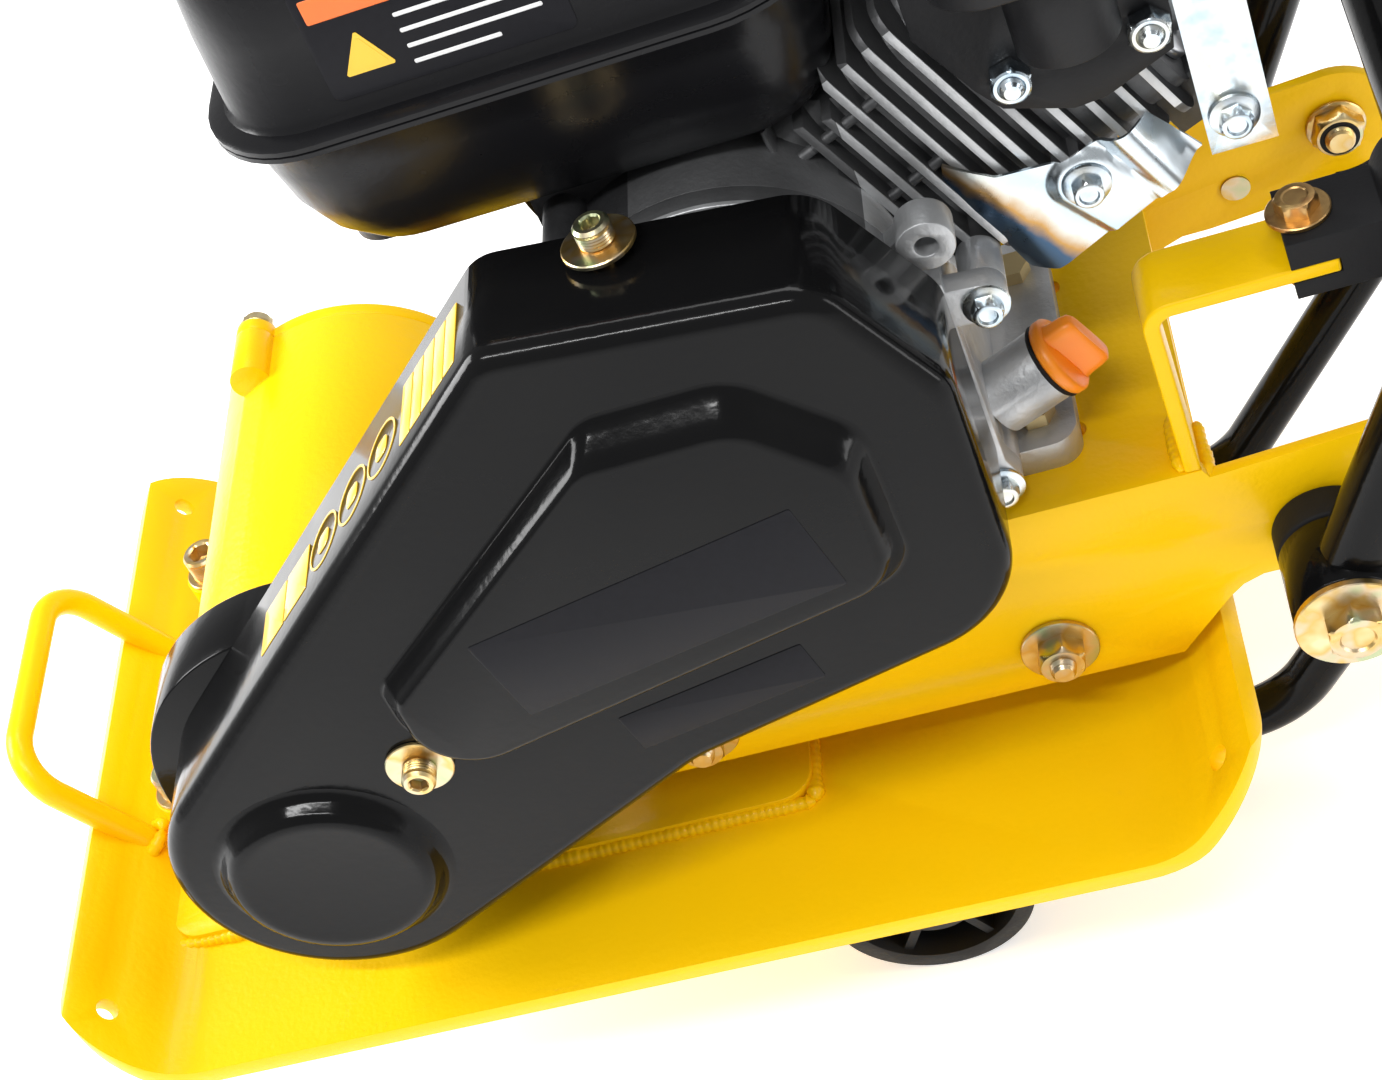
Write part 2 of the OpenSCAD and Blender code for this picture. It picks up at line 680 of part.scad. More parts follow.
module fuel_tank() {
    color(black) difference() {
        union() {
            slab(tank_x[0] + 30, tank_x[1] - 22, -70, 70, 300, 320, 30);
            slab(tank_x[0] + 10, tank_x[1] - 10, -85, 85, 320, 362, 34);
            slab(tank_x[0], tank_x[1], -tank_half_w, tank_half_w, 362, 368, 42);
            slab(tank_x[0] + 8, tank_x[1] - 8, -87, 87, 368, 440, 36);
            slab(tank_x[0] + 22, tank_x[1] - 22, -73, 73, 440, 458, 30);
            translate([70, 20, 450]) cylinder(r = 22, h = 12);
        }
        slab(tank_x[0] + 32, tank_x[1] - 24, -68, 68, 302, 322, 28);
        slab(tank_x[0] + 12, tank_x[1] - 12, -83, 83, 321, 438, 32);
        slab(tank_x[0] + 24, tank_x[1] - 24, -71, 71, 437, 456, 28);
        translate([70, 20, 450]) cylinder(r = 19, h = 20);
    }
}

module fuel_cap() {
    color(black) translate([70, 20, 0]) {
        difference() {
            translate([0, 0, 462.3]) cylinder(r = 30, h = 14);
            for (i = [0 : 11]) rotate(i * 30) translate([32, 0, 455]) cylinder(r = 4, h = 40);
        }
        translate([0, 0, 452]) cylinder(r = 18.5, h = 12);
    }
}

module oil_cap() {
    color("darkorange") translate(oil_neck) rotate([0, 90 - cylinder_tilt, 0]) {
        translate([0, 0, 24.3]) cylinder(r = 15, h = 6);
        translate([0, 0, 12]) cylinder(r = 9.5, h = 14);
        translate([-13, -5, 30]) cube([26, 10, 12]);
        translate([0, 0, 30]) cylinder(r = 12, h = 4);
    }
}

module carburettor() {
    color(casting) {
        y_rod(240, 320, 30, 62, 17);
        translate([224, 34, 286]) cube([32, 26, 30]);
        translate([226, 62, 306]) cube([28, 8, 28]);
    }
}

module air_cleaner_base() {
    color(black) slab(205, 325, 70, 150, 300, 345, 14);
}

module air_cleaner_cover() {
    color(black) difference() {
        slab(201, 329, 66, 154, 345, 440, 20);
        slab(204, 326, 69, 151, 344, 437, 17);
    }
}

module choke_lever() {
    color(rubber) {
        y_rod(218, 300, 60, 66, 5);
        translate([208, 60, 278]) cube([7, 6, 22]);
    }
}

module fuel_cock_lever() {
    color("red") {
        y_rod(262, 292, 60, 66, 5);
        translate([266, 60, 288]) cube([20, 6, 7]);
    }
}

module engine_switch() {
    color("red") translate([36, 130.3, 262]) {
        rotate([-90, 0, 0]) cylinder(r = 9, h = 8);
        translate([-11, 8, -3]) cube([22, 8, 6]);
    }
}

// --- Belt drive and its guard --------------------------------------------

module clutch_drum() {
    color(casting) difference() {
        grooved(crank_x, crank_z, -144, -114, drum_r, clutch_belt_r);
        y_rod(crank_x, crank_z, -150, -110, pto_r + run_gap);
        y_ring(crank_x, crank_z, -150, -122, 46, 16);
    }
}

module clutch_hub() {
    color("silver") difference() {
        y_rod(crank_x, crank_z, -153, -145, 45);
        y_rod(crank_x, crank_z, -154, -144, pto_r);
    }
}

module drive_belt() {
    color(rubber) xz_plate(belt_y - belt_w / 2, belt_y + belt_w / 2) difference() {
        hull() {
            translate([exciter_x, exciter_z]) circle(exciter_belt_r + belt_t, $fn = 48);
            translate([crank_x, crank_z]) circle(clutch_belt_r + belt_t, $fn = 48);
        }
        hull() {
            translate([exciter_x, exciter_z]) circle(exciter_belt_r, $fn = 48);
            translate([crank_x, crank_z]) circle(clutch_belt_r, $fn = 48);
        }
    }
}

// The angle, seen from the exciter's axis, where a line from corner c touches the guard's round end
function touch_angle(c, side) = let (d = flat2(c) - [exciter_x, exciter_z])
    atan2(d[1], d[0]) + side * acos(guard_end_r / norm(d));
guard_end_from = touch_angle(guard_corners[len(guard_corners) - 1], 1);
guard_end_to = touch_angle(guard_corners[0], -1) + 360;
guard_end = [for (i = [0 : 18]) let (a = guard_end_from + (guard_end_to - guard_end_from) * i / 18)
    [exciter_x + guard_end_r * cos(a), exciter_z + guard_end_r * sin(a)]];
guard_outline = concat(guard_end, [for (i = [0 : len(guard_corners) - 1]) let (last = len(guard_corners) - 1)
    each fillet(i == 0 ? guard_end[len(guard_end) - 1] : flat2(guard_corners[i - 1]), flat2(guard_corners[i]),
        i == last ? guard_end[0] : flat2(guard_corners[i + 1]), guard_corners[i][2])]);

module belt_guard() {
    color(black) difference() {
        union() {
            xz_plate(guard_front_y, guard_back_y) polygon(guard_outline);
            xz_plate(guard_front_y - panel_h, guard_front_y) offset(r = -6) polygon(rounded(panel_corners));
            y_rod(exciter_x, exciter_z, guard_front_y - bulge_h, guard_front_y, 41);
        }
        xz_plate(guard_front_y + guard_wall, guard_back_y + 1) offset(delta = -guard_wall) polygon(guard_outline);
        y_rod(-44, 138, -170, -150, 4.5);
        translate([91, -115, 290]) cylinder(r = 4.5, h = 40);
    }
}

module guard_back_plate() {
    color(black) {
        difference() {
            xz_plate(guard_back_y - 2, guard_back_y) offset(delta = -guard_wall - 0.5) polygon(guard_outline);
            y_rod(crank_x, crank_z, -110, -100, 24);
            y_rod(exciter_x, exciter_z, -110, -100, 50);
        }
        y_ring(exciter_x, exciter_z, guard_back_y, guard_back_y + 2, dish_r, 50);
        y_ring(exciter_x, exciter_z, guard_back_y + 2, dish_y - 2, dish_r, dish_r - 2);
        y_ring(exciter_x, exciter_z, dish_y - 2, dish_y, dish_r, 24);
        y_ring(-44, 138, guard_front_y + guard_wall, guard_back_y - 2, 7, 4);
    }
}

module guard_screws() {
    color(passivated) {
        y_rod(-44, 138, guard_front_y, -112, 4);
        y_ring(-44, 138, guard_front_y - 2, guard_front_y, 13, 3.9);
        difference() {
            y_rod(-44, 138, guard_front_y - 10, guard_front_y, 6.5);
            y_rod(-44, 138, guard_front_y - 11, guard_front_y - 5, 3.9, 6);
        }
        translate([91, -115, 0]) {
            translate([0, 0, 296]) cylinder(r = 4, h = 18);
            translate([0, 0, 311.4]) cylinder(r = 13, h = 2);
            difference() {
                translate([0, 0, 313.4]) cylinder(r = 6.5, h = 8);
                translate([0, 0, 316.4]) cylinder(r = 3.9, h = 8, $fn = 6);
            }
            translate([0, 0, 298]) cylinder(r = 13 / sqrt(3), h = 7, $fn = 6);
        }
    }
}

// --- Wheel kit ----------------------------------------------------------

module wheel_frame() {
    lug_in = bed_half_w + 0.5;
    lug_out = lug_in + 5;
    foot = [337, 60];
    color(black) difference() {
        union() {
            for (s = [-1, 1]) {
                rod([[wheel_x, s * arm_y, wheel_z], [258, s * arm_y, wheel_z], [foot[0], s * arm_y, foot[1]]],
                    arm_d / 2, 40, [0, 1, 0]);
                y_rod(foot[0], foot[1], s > 0 ? arm_y - 8 : -lug_in - 1, s > 0 ? lug_in + 1 : 8 - arm_y, 10.5);
                xz_plate(s > 0 ? lug_in : -lug_out, s > 0 ? lug_out : -lug_in) link(foot, frame_pivot, 14);
            }
            y_rod(wheel_x, wheel_z, -84, 84, 13);
        }
        y_rod(frame_pivot[0], frame_pivot[1], -120, 120, 6 + run_gap);
        y_rod(wheel_x, wheel_z, -90, 90, axle_r);
    }
}

module wheel_axle() {
    color("silver") {
        y_rod(wheel_x, wheel_z, -wheel_outer_y - 3, wheel_outer_y + 3, axle_r);
        for (s = [0, 1]) mirror([0, s, 0]) y_rod(wheel_x, wheel_z, wheel_outer_y + 0.5, wheel_outer_y + 2, 11);
    }
}

module hub_bushes() {
    color("ivory") for (s = [0, 1]) mirror([0, s, 0])
        y_ring(wheel_x, wheel_z, 84, wheel_outer_y + 0.5, 14, axle_r);
}

// One spoked wheel on the side s
module wheel(s) {
    y0 = wheel_outer_y - wheel_w;
    color(black) mirror([0, s, 0]) {
        y_ring(wheel_x, wheel_z, y0, wheel_outer_y, wheel_d / 2, wheel_d / 2 - 7);
        y_ring(wheel_x, wheel_z, y0, wheel_outer_y, 18, 14 + run_gap);
        for (i = [0 : 5]) translate([wheel_x, y0 + 3, wheel_z]) rotate([0, i * 60, 0])
            translate([17, 0, -2]) cube([19, wheel_w - 6, 4]);
        y_ring(wheel_x, wheel_z, y0 + 12, y0 + 15, wheel_d / 2 - 6, 17);
    }
}
module wheel_near() { wheel(1); }
module wheel_far() { wheel(0); }

// --- Handle -------------------------------------------------------------

// The handle's bent tube, starting at a distance from the pivot
module handle_path(r, start) {
    s = handle_pivot + start * [cos(handle_lean), sin(handle_lean)];
    rod([[s[0], -leg_y, s[1]], [handle_top_x, -leg_y, handle_top_z], [handle_top_x, leg_y, handle_top_z],
        [s[0], leg_y, s[1]]], r, 42, [-sin(handle_lean), 0, cos(handle_lean)]);
}

module handle_frame() {
    color(black) difference() {
        union() {
            handle_path(handle_d / 2, 17);
            for (s = [-1, 1]) y_rod(handle_pivot[0], handle_pivot[1], s * leg_y - 16, s * leg_y + 16, 20);
            y_rod(cross_x, cross_z, -leg_y, leg_y, cross_d / 2);
        }
        for (s = [-1, 1]) y_rod(handle_pivot[0], handle_pivot[1], s * leg_y - 17, s * leg_y + 17, 15 + run_gap);
        handle_path(handle_d / 2 - 2.5, 10);
    }
}

module handle_bushes() {
    color(rubber) for (s = [0, 1]) mirror([0, s, 0]) {
        y_ring(handle_pivot[0], handle_pivot[1], bed_half_w, leg_y - 16.5, 20, 6);
        y_ring(handle_pivot[0], handle_pivot[1], leg_y - 16.5, leg_y + 16.5, 15, 6);
    }
}

module handle_grip() {
    color(rubber) for (s = [0, 1]) mirror([0, s, 0]) difference() {
        y_rod(handle_top_x, handle_top_z, 12, 68, 17);
        y_rod(handle_top_x, handle_top_z, 10, 70, handle_d / 2);
    }
}

module pivot_bolts() {
    out = leg_y + 16.5;
    color(passivated) for (s = [0, 1]) mirror([0, s, 0]) {
        y_rod(handle_pivot[0], handle_pivot[1], 96, out + 3, 6);
        y_rod(handle_pivot[0], handle_pivot[1], out, out + 3, 20.5);
        y_hex(handle_pivot[0], handle_pivot[1], out + 3, out + 10.5, 19);
        y_rod(frame_pivot[0], frame_pivot[1], 83, 109, 6);
        y_rod(frame_pivot[0], frame_pivot[1], 107.8, 109, 12);
        y_hex(frame_pivot[0], frame_pivot[1], 109, 116.5, 19);
        y_rod(frame_pivot[0], frame_pivot[1], 94.5, 97, 12);
        y_hex(frame_pivot[0], frame_pivot[1], 87, 94.5, 19);
        y_ring(frame_pivot[0], frame_pivot[1], 84, 87, 9, 6);
    }
}

module throttle_lever() {
    color(black) translate([handle_top_x, 82, handle_top_z]) {
        y_ring(0, 0, -4, 4, 19, handle_d / 2 + run_gap);
        rotate([0, 150, 0]) translate([18, -4, -3]) cube([52, 8, 6]);
    }
}

on_ground() base_plate();
on_ground() exciter_pad();
on_ground() lifting_bar();
on_ground() exciter_housing();
on_ground() exciter_end_cover();
on_ground() exciter_bearings();
on_ground() exciter_seal();
on_ground() exciter_screws();
on_ground() cover_bolts();
on_ground() exciter_shaft();
on_ground() exciter_pulley();
on_ground() engine_bed();
on_ground() mount_lugs();
on_ground() rubber_mounts();
on_ground() mount_nuts();
on_ground() stop_strap();
on_ground() stop_block();
on_ground() stop_block_bolt();
on_ground() engine_bolts();
on_ground() engine_block();
on_ground() side_cover();
on_ground() flange_bolts();
on_ground() crankshaft();
on_ground() flywheel();
on_ground() piston();
on_ground() cylinder_head();
on_ground() rocker_cover();
on_ground() exhaust_elbow();
on_ground() exhaust_nuts();
on_ground() muffler();
on_ground() air_shield();
on_ground() upright_bracket();
on_ground() fan_housing();
on_ground() recoil_cover();
on_ground() starter_grip();
on_ground() fuel_tank();
on_ground() fuel_cap();
on_ground() oil_cap();
on_ground() carburettor();
on_ground() air_cleaner_base();
on_ground() air_cleaner_cover();
on_ground() choke_lever();
on_ground() fuel_cock_lever();
on_ground() engine_switch();
on_ground() belt_guard();
on_ground() guard_back_plate();
on_ground() guard_screws();
on_ground() drive_belt();
on_ground() clutch_hub();
on_ground() clutch_drum();
on_ground() wheel_frame();
on_ground() wheel_axle();
on_ground() hub_bushes();
on_ground() wheel_near();
on_ground() wheel_far();
on_ground() handle_frame();
on_ground() handle_bushes();
on_ground() handle_grip();
on_ground() pivot_bolts();
on_ground() throttle_lever();
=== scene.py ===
import json
import math
import bmesh
import bpy
from mathutils import Matrix, Vector, noise


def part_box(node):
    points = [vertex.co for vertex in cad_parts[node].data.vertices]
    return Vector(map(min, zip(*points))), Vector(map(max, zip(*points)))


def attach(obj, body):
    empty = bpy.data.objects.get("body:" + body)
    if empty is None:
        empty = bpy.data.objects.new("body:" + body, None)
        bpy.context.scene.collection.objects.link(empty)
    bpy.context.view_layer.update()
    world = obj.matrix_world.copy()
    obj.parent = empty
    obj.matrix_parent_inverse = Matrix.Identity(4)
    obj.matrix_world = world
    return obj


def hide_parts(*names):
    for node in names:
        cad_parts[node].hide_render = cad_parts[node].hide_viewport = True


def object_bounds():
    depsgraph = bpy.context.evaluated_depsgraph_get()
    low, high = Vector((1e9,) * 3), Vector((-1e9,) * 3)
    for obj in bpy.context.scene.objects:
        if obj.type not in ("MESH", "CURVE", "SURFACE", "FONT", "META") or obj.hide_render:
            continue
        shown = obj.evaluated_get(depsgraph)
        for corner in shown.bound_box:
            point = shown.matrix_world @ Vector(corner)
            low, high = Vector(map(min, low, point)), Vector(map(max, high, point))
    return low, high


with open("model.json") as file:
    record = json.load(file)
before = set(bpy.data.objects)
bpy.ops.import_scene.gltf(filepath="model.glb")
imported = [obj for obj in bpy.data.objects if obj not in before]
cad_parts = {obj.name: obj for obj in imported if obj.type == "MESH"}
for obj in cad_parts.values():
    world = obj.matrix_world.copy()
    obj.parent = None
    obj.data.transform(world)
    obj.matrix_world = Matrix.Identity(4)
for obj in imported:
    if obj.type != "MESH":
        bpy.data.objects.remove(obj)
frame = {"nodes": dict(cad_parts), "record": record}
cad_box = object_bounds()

# --- Camera and studio ---------------------------------------------------------------
# Places are in millimetres from the middle of the flat sole: X to the rear, Y away from
# the belt guard, Z up. A long lens looks down on the guard side, rolled by the way the
# machine stands, in a white room with large soft lamps.
plate_low, plate_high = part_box("base_plate")
SOLE = Vector(((plate_low.x + plate_high.x) / 2, 0, plate_low.z))
MM = 0.001


def at(x, y, z):
    return SOLE + Vector((x, y, z)) * MM


scene = bpy.context.scene
EYE = (282.5, -809.6, 831.7)
right = Vector((0.93164, 0.01523, -0.36306)).normalized()
up = Vector((0.24590, 0.70918, 0.66076)).normalized()
camera = bpy.data.objects.new("camera", bpy.data.cameras.new("camera"))
camera.data.sensor_width = 36
camera.data.lens = 70.67
camera.data.shift_x = 0.1132
camera.data.shift_y = 0.0124
camera.data.clip_start = 0.05
facing = Matrix((right, up, right.cross(up))).transposed()
camera.matrix_world = Matrix.Translation(at(*EYE)) @ facing.to_4x4()
scene.collection.objects.link(camera)
scene.camera = camera
scene.view_settings.view_transform = "Standard"


def lamp(name, place, aim, size, power):
    light = bpy.data.lights.new(name, "AREA")
    light.shape = "RECTANGLE"
    light.size, light.size_y = size
    light.energy = power
    obj = bpy.data.objects.new(name, light)
    obj.location = at(*place)
    obj.rotation_euler = (at(*aim) - obj.location).to_track_quat("-Z", "Y").to_euler()
    scene.collection.objects.link(obj)


lamp("key_lamp", (-1500, 200, 900), (0, 0, 100), (0.8, 0.8), 38)
lamp("top_lamp", (300, 500, 1700), (50, 0, 150), (1.4, 0.4), 13)
lamp("strip_lamp", (-200, -1000, 1700), (50, -50, 150), (1.3, 0.06), 20)
lamp("side_lamp", (1500, -500, 500), (150, -50, 150), (0.2, 1.0), 5)

world = bpy.data.worlds.new("white_room")
scene.world = world
world.use_nodes = True
world.node_tree.nodes["Background"].inputs["Color"].default_value = (1, 1, 1, 1)
world.node_tree.nodes["Background"].inputs["Strength"].default_value = 0.5


# --- Floor ---------------------------------------------------------------------------
# A pale seamless sheet under the wheels, matt, with a faint tooth.
class Value:
    """A shader socket that takes part in Python arithmetic."""

    def __init__(self, finish, socket):
        self.finish = finish
        self.socket = socket

    def math(self, operation, first, second):
        return self.finish.node("ShaderNodeMath", {"operation": operation}, {0: first, 1: second})

    def __add__(self, other):
        return self.math("ADD", self, other)

    def __sub__(self, other):
        return self.math("SUBTRACT", self, other)

    def __rsub__(self, other):
        return self.math("SUBTRACT", other, self)

    def __mul__(self, other):
        return self.math("MULTIPLY", self, other)

    def __gt__(self, other):
        return self.math("GREATER_THAN", self, other)

    def __lt__(self, other):
        return self.math("LESS_THAN", self, other)

    __radd__ = __add__
    __rmul__ = __mul__


class Finish:
    """A procedural material on one Principled shader, with places in metres."""

    def __init__(self, name, **sockets):
        self.material = bpy.data.materials.new(name)
        self.material.use_nodes = True
        self.shader = self.material.node_tree.nodes["Principled BSDF"]
        self.place = self.node("ShaderNodeTexCoord", {}, {}, "Object")
        for key, value in sockets.items():
            self.set(key.replace("_", " "), value)

    def node(self, kind, settings, values, out=0):
        made = self.material.node_tree.nodes.new(kind)
        stops = settings.pop("stops", ())
        for key, value in settings.items():
            setattr(made, key, value)
        for number, (position, colour) in enumerate(stops):
            if number > 1:
                made.color_ramp.elements.new(position)
            made.color_ramp.elements[number].position = position
            made.color_ramp.elements[number].color = (*colour, 1)
        for key, value in values.items():
            self.join(made.inputs[key], value)
        return Value(self, made.outputs[out])

    def join(self, socket, value):
        if isinstance(value, Value):
            self.material.node_tree.links.new(value.socket, socket)
        elif socket.type == "RGBA":
            socket.default_value = (*value, 1)
        else:
            socket.default_value = value

    def set(self, name, value):
        self.join(self.shader.inputs[name], value)

    def noise(self, scale, detail=3, stretch=(1, 1, 1)):
        place = self.node("ShaderNodeMapping", {}, {"Vector": self.place, "Scale": stretch})
        return self.node("ShaderNodeTexNoise", {}, {"Vector": place, "Scale": scale, "Detail": detail})

    def ramp(self, value, *stops):
        return self.node("ShaderNodeValToRGB", {"stops": stops}, {0: value})

    def mottle(self, scale, first, second):
        """Two close tones in soft patches of one size."""
        self.set("Base Color", self.mix(self.noise(scale), first, second))

    def mix(self, factor, first, second):
        return self.node("ShaderNodeMix", {"data_type": "RGBA"}, {0: factor, 6: first, 7: second}, 2)

    def bump(self, height, strength, depth):
        self.set("Normal", self.node("ShaderNodeBump", {}, {"Height": height, "Strength": strength,
                                                            "Distance": depth}))


sheet = Finish("pale_floor", Emission_Color=(1, 1, 1), Emission_Strength=0.55)
sheet.mottle(6, (0.84, 0.84, 0.84), (0.88, 0.88, 0.88))
sheet.set("Roughness", 0.9)
bpy.ops.mesh.primitive_plane_add(size=14, location=(0, 0, cad_box[0][2] - 0.0005))
floor = bpy.context.object
floor.name = "floor"
floor.data.materials.append(sheet.material)


# --- Sole plate ----------------------------------------------------------------------
# An 8 mm steel plate with both ends bent up and an exciter pad welded on it, powder
# coated yellow. The coat rounds the sheared edges and lies over the weld beads.
body_of = {node: body for body, nodes in frame["record"]["behaviour"]["bodies"].items() for node in nodes}


def hand_in(piece, finish, node):
    piece.data.materials.clear()
    piece.data.materials.append(finish.material)
    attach(piece, body_of[node])
    return piece


def made_object(name, bm, sharp=35):
    bmesh.ops.recalc_face_normals(bm, faces=bm.faces)
    mesh = bpy.data.meshes.new(name)
    bm.to_mesh(mesh)
    bm.free()
    obj = bpy.data.objects.new(name, mesh)
    scene.collection.objects.link(obj)
    mesh.shade_smooth()
    mesh.set_sharp_from_angle(angle=math.radians(sharp))
    return obj


def settle(obj, sharp=38):
    bpy.context.view_layer.update()
    obj.data = bpy.data.meshes.new_from_object(obj.evaluated_get(bpy.context.evaluated_depsgraph_get()))
    obj.modifiers.clear()
    obj.data.shade_smooth()
    obj.data.set_sharp_from_angle(angle=math.radians(sharp))


def broken_edges(finish, width, *names):
    for name in names:
        bm = bmesh.new()
        bm.from_mesh(frame["nodes"][name].data)
        bmesh.ops.remove_doubles(bm, verts=bm.verts, dist=2e-6)
        bmesh.ops.dissolve_limit(bm, angle_limit=math.radians(0.6), verts=bm.verts, edges=bm.edges)
        piece = made_object(name + "_finished", bm)
        bevel = piece.modifiers.new("edges", "BEVEL")
        bevel.width = width * MM
        bevel.segments = 2
        bevel.limit_method = "ANGLE"
        bevel.angle_limit = math.radians(40)
        settle(piece)
        hand_in(piece, finish, name)
        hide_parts(name)


YELLOW = (0.97, 0.59, 0.002)
YELLOW_THICK = (0.94, 0.55, 0.001)
yellow_coat = Finish("yellow_powder_coat", Specular_IOR_Level=0.16, Coat_Weight=0.04, Coat_Roughness=0.1)
flow = yellow_coat.noise(14)
yellow_coat.set("Base Color", yellow_coat.mix(flow, YELLOW, YELLOW_THICK))
yellow_coat.set("Roughness", 0.26 + 0.12 * yellow_coat.noise(60))
yellow_coat.bump(yellow_coat.noise(320, 2) + 0.8 * yellow_coat.noise(28, 2), 0.35, 0.0006)
broken_edges(yellow_coat, 1.6, "base_plate")
broken_edges(yellow_coat, 1.2, "exciter_pad")


def along(points, step):
    """Points every step along a line of points."""
    line = [Vector(p) for p in points]
    placed = []
    for a, b in zip(line, line[1:]):
        count = max(1, round((b - a).length / step))
        placed += [a.lerp(b, i / count) for i in range(count)]
    return placed + [line[-1]]


def swept(bm, points, radii, sides, capped=True):
    """A round skin over a line of points with one radius each, in millimetres."""
    rings = []
    side = Vector((0.31, 0.87, 0.38))
    for i, point in enumerate(points):
        heading = (points[min(i + 1, len(points) - 1)] - points[max(i - 1, 0)]).normalized()
        side = (side - heading * side.dot(heading)).normalized()
        other = heading.cross(side)
        turns = [2 * math.pi * k / sides for k in range(sides)]
        rings.append([bm.verts.new(at(*(point + (side * math.cos(t) + other * math.sin(t)) * radii[i])))
                      for t in turns])
    for low, high in zip(rings, rings[1:]):
        for k in range(sides):
            bm.faces.new((low[k], low[(k + 1) % sides], high[(k + 1) % sides], high[k]))
    if capped:
        bm.faces.new(rings[0][::-1])
        bm.faces.new(rings[-1])


def weld_beads(name, radius, node, *lines):
    noise.seed_set(7)
    bm = bmesh.new()
    for number, line in enumerate(lines):
        points = along(line, 1.1)
        radii = []
        for i, point in enumerate(points):
            ripple = 0.12 * math.sin(i * 2.1) + 0.35 * noise.noise(point * 0.11)
            end = min(1, 0.35 + 0.25 * min(i, len(points) - 1 - i))
            radii.append(radius * (1 + ripple) * end)
        points = [p + 0.5 * noise.noise_vector(p * 0.07 + Vector((number, 0, 0))) for p in points]
        swept(bm, points, radii, 10)
    hand_in(made_object(name, bm, 60), yellow_coat, node)


PAD_X = (-215, 72)
PAD_Y = 108
PLATE_TOP = 8
pad_corners = [(PAD_X[0], -PAD_Y), (PAD_X[1], -PAD_Y), (PAD_X[1], PAD_Y), (PAD_X[0], PAD_Y)]
pad_line = [(x, y, PLATE_TOP + 1) for x, y in pad_corners + pad_corners[:1]]
weld_beads("pad_welds", 3.2, "exciter_pad", *zip(pad_line, pad_line[1:]))


# --- Lifting bar ---------------------------------------------------------------------
# A 12 mm round bar bent into a loop and welded to the plate's front end.
def bent_line(corners, bend, step=3):
    """Points along a line whose corners are rounded to a bend radius."""
    line = [Vector(c) for c in corners]
    placed = [line[0]]
    for a, b, c in zip(line, line[1:], line[2:]):
        into, out = (a - b).normalized(), (c - b).normalized()
        half = into.angle(out) / 2
        reach = bend / math.tan(half)
        centre = b + (into + out).normalized() * bend / math.sin(half)
        start, finish = b + into * reach, b + out * reach
        count = max(6, round((math.pi - 2 * half) * bend / step))
        for i in range(count + 1):
            t = (math.pi - 2 * half) * i / count
            spoke = (start - centre).normalized() * math.cos(t) - into * math.sin(t)
            placed.append(centre + spoke * bend)
    return placed + [line[-1]]


BAR_FOOT = (-224, 17)
BAR_END = (-262, 85)
BAR_Y = 56
bar_corners = [(BAR_FOOT[0], -BAR_Y, BAR_FOOT[1]), (BAR_END[0], -BAR_Y, BAR_END[1]),
               (BAR_END[0], BAR_Y, BAR_END[1]), (BAR_FOOT[0], BAR_Y, BAR_FOOT[1])]
bar = bmesh.new()
bar_line = bent_line(bar_corners, 22)
swept(bar, bar_line, [6] * len(bar_line), 32)
bar = hand_in(made_object("lifting_bar_bent", bar, 60), yellow_coat, "lifting_bar")
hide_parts("lifting_bar")
ring = [(math.cos(t * math.pi / 6), math.sin(t * math.pi / 6)) for t in range(13)]
weld_beads("bar_welds", 2.8, "lifting_bar",
           *[[(-227.5 + 9 * c, s * BAR_Y + 7.5 * w, 21.5 + 6.5 * c) for c, w in ring] for s in (-1, 1)])


# --- Exciter -------------------------------------------------------------------------
# A cast housing on four feet holds an eccentric shaft in two bearings. The end cover and
# the housing are painted with the plate; the screws are yellow-passivated.
def loop(shape, radius, height, sides=48):
    """A round or six-sided ring: its radius, or half its width across flats, and its height."""
    ring = []
    for k in range(sides):
        t = 2 * math.pi * k / sides
        fold = (t + math.pi / 6) % (math.pi / 3) - math.pi / 6
        reach = radius / math.cos(fold) if shape == "hex" else radius
        ring.append((reach * math.cos(t), reach * math.sin(t), height))
    return ring


def turned(bm, base, axis, stations, turn=0):
    """A closed turned piece: rings of (shape, radius, height) on a base point, along an axis."""
    frame_of = Vector(axis).to_track_quat("Z", "X").to_matrix() @ Matrix.Rotation(turn, 3, "Z")
    rings = []
    for shape, radius, height in stations:
        places = [Vector(base) + frame_of @ Vector(p) for p in loop(shape, radius, height)]
        rings.append([bm.verts.new(at(*place)) for place in places])
    for low, high in zip(rings, rings[1:]):
        for k in range(len(low)):
            bm.faces.new((low[k], low[k - 1], high[k - 1], high[k]))
    bm.faces.new(rings[0])
    bm.faces.new(rings[-1])


def washer(radius, base, thick):
    return [("round", radius - 0.4, base), ("round", radius, base + 0.4),
            ("round", radius, base + thick - 0.4), ("round", radius - 0.4, base + thick)]


def socket_head(radius, base, tall, key):
    """A knurled cap head with a hexagon socket, key across flats."""
    knurls = [("round", radius - (0.35 if k % 2 else 0), base + 0.8 + 0.6 * k)
              for k in range(int((tall - 2.4) / 0.6))]
    return ([("round", radius - 0.7, base), ("round", radius, base + 0.6)] + knurls
            + [("round", radius, base + tall - 1.2), ("round", radius - 1, base + tall),
               ("round", key * 0.62, base + tall), ("hex", key / 2, base + tall - 0.7),
               ("hex", key / 2, base + tall * 0.4), ("round", 0.6, base + tall * 0.3)])


def hex_head(flats, base, tall, dish=0.5):
    """A six-sided head with its corners chamfered and a shallow dish in its top."""
    half = flats / 2
    return [("hex", half, base), ("hex", half, base + tall - 1.1), ("round", half * 1.02, base + tall - 0.2),
            ("round", half * 0.92, base + tall), ("round", half * 0.68, base + tall),
            ("round", half * 0.6, base + tall - dish), ("round", half * 0.2, base + tall - dish)]


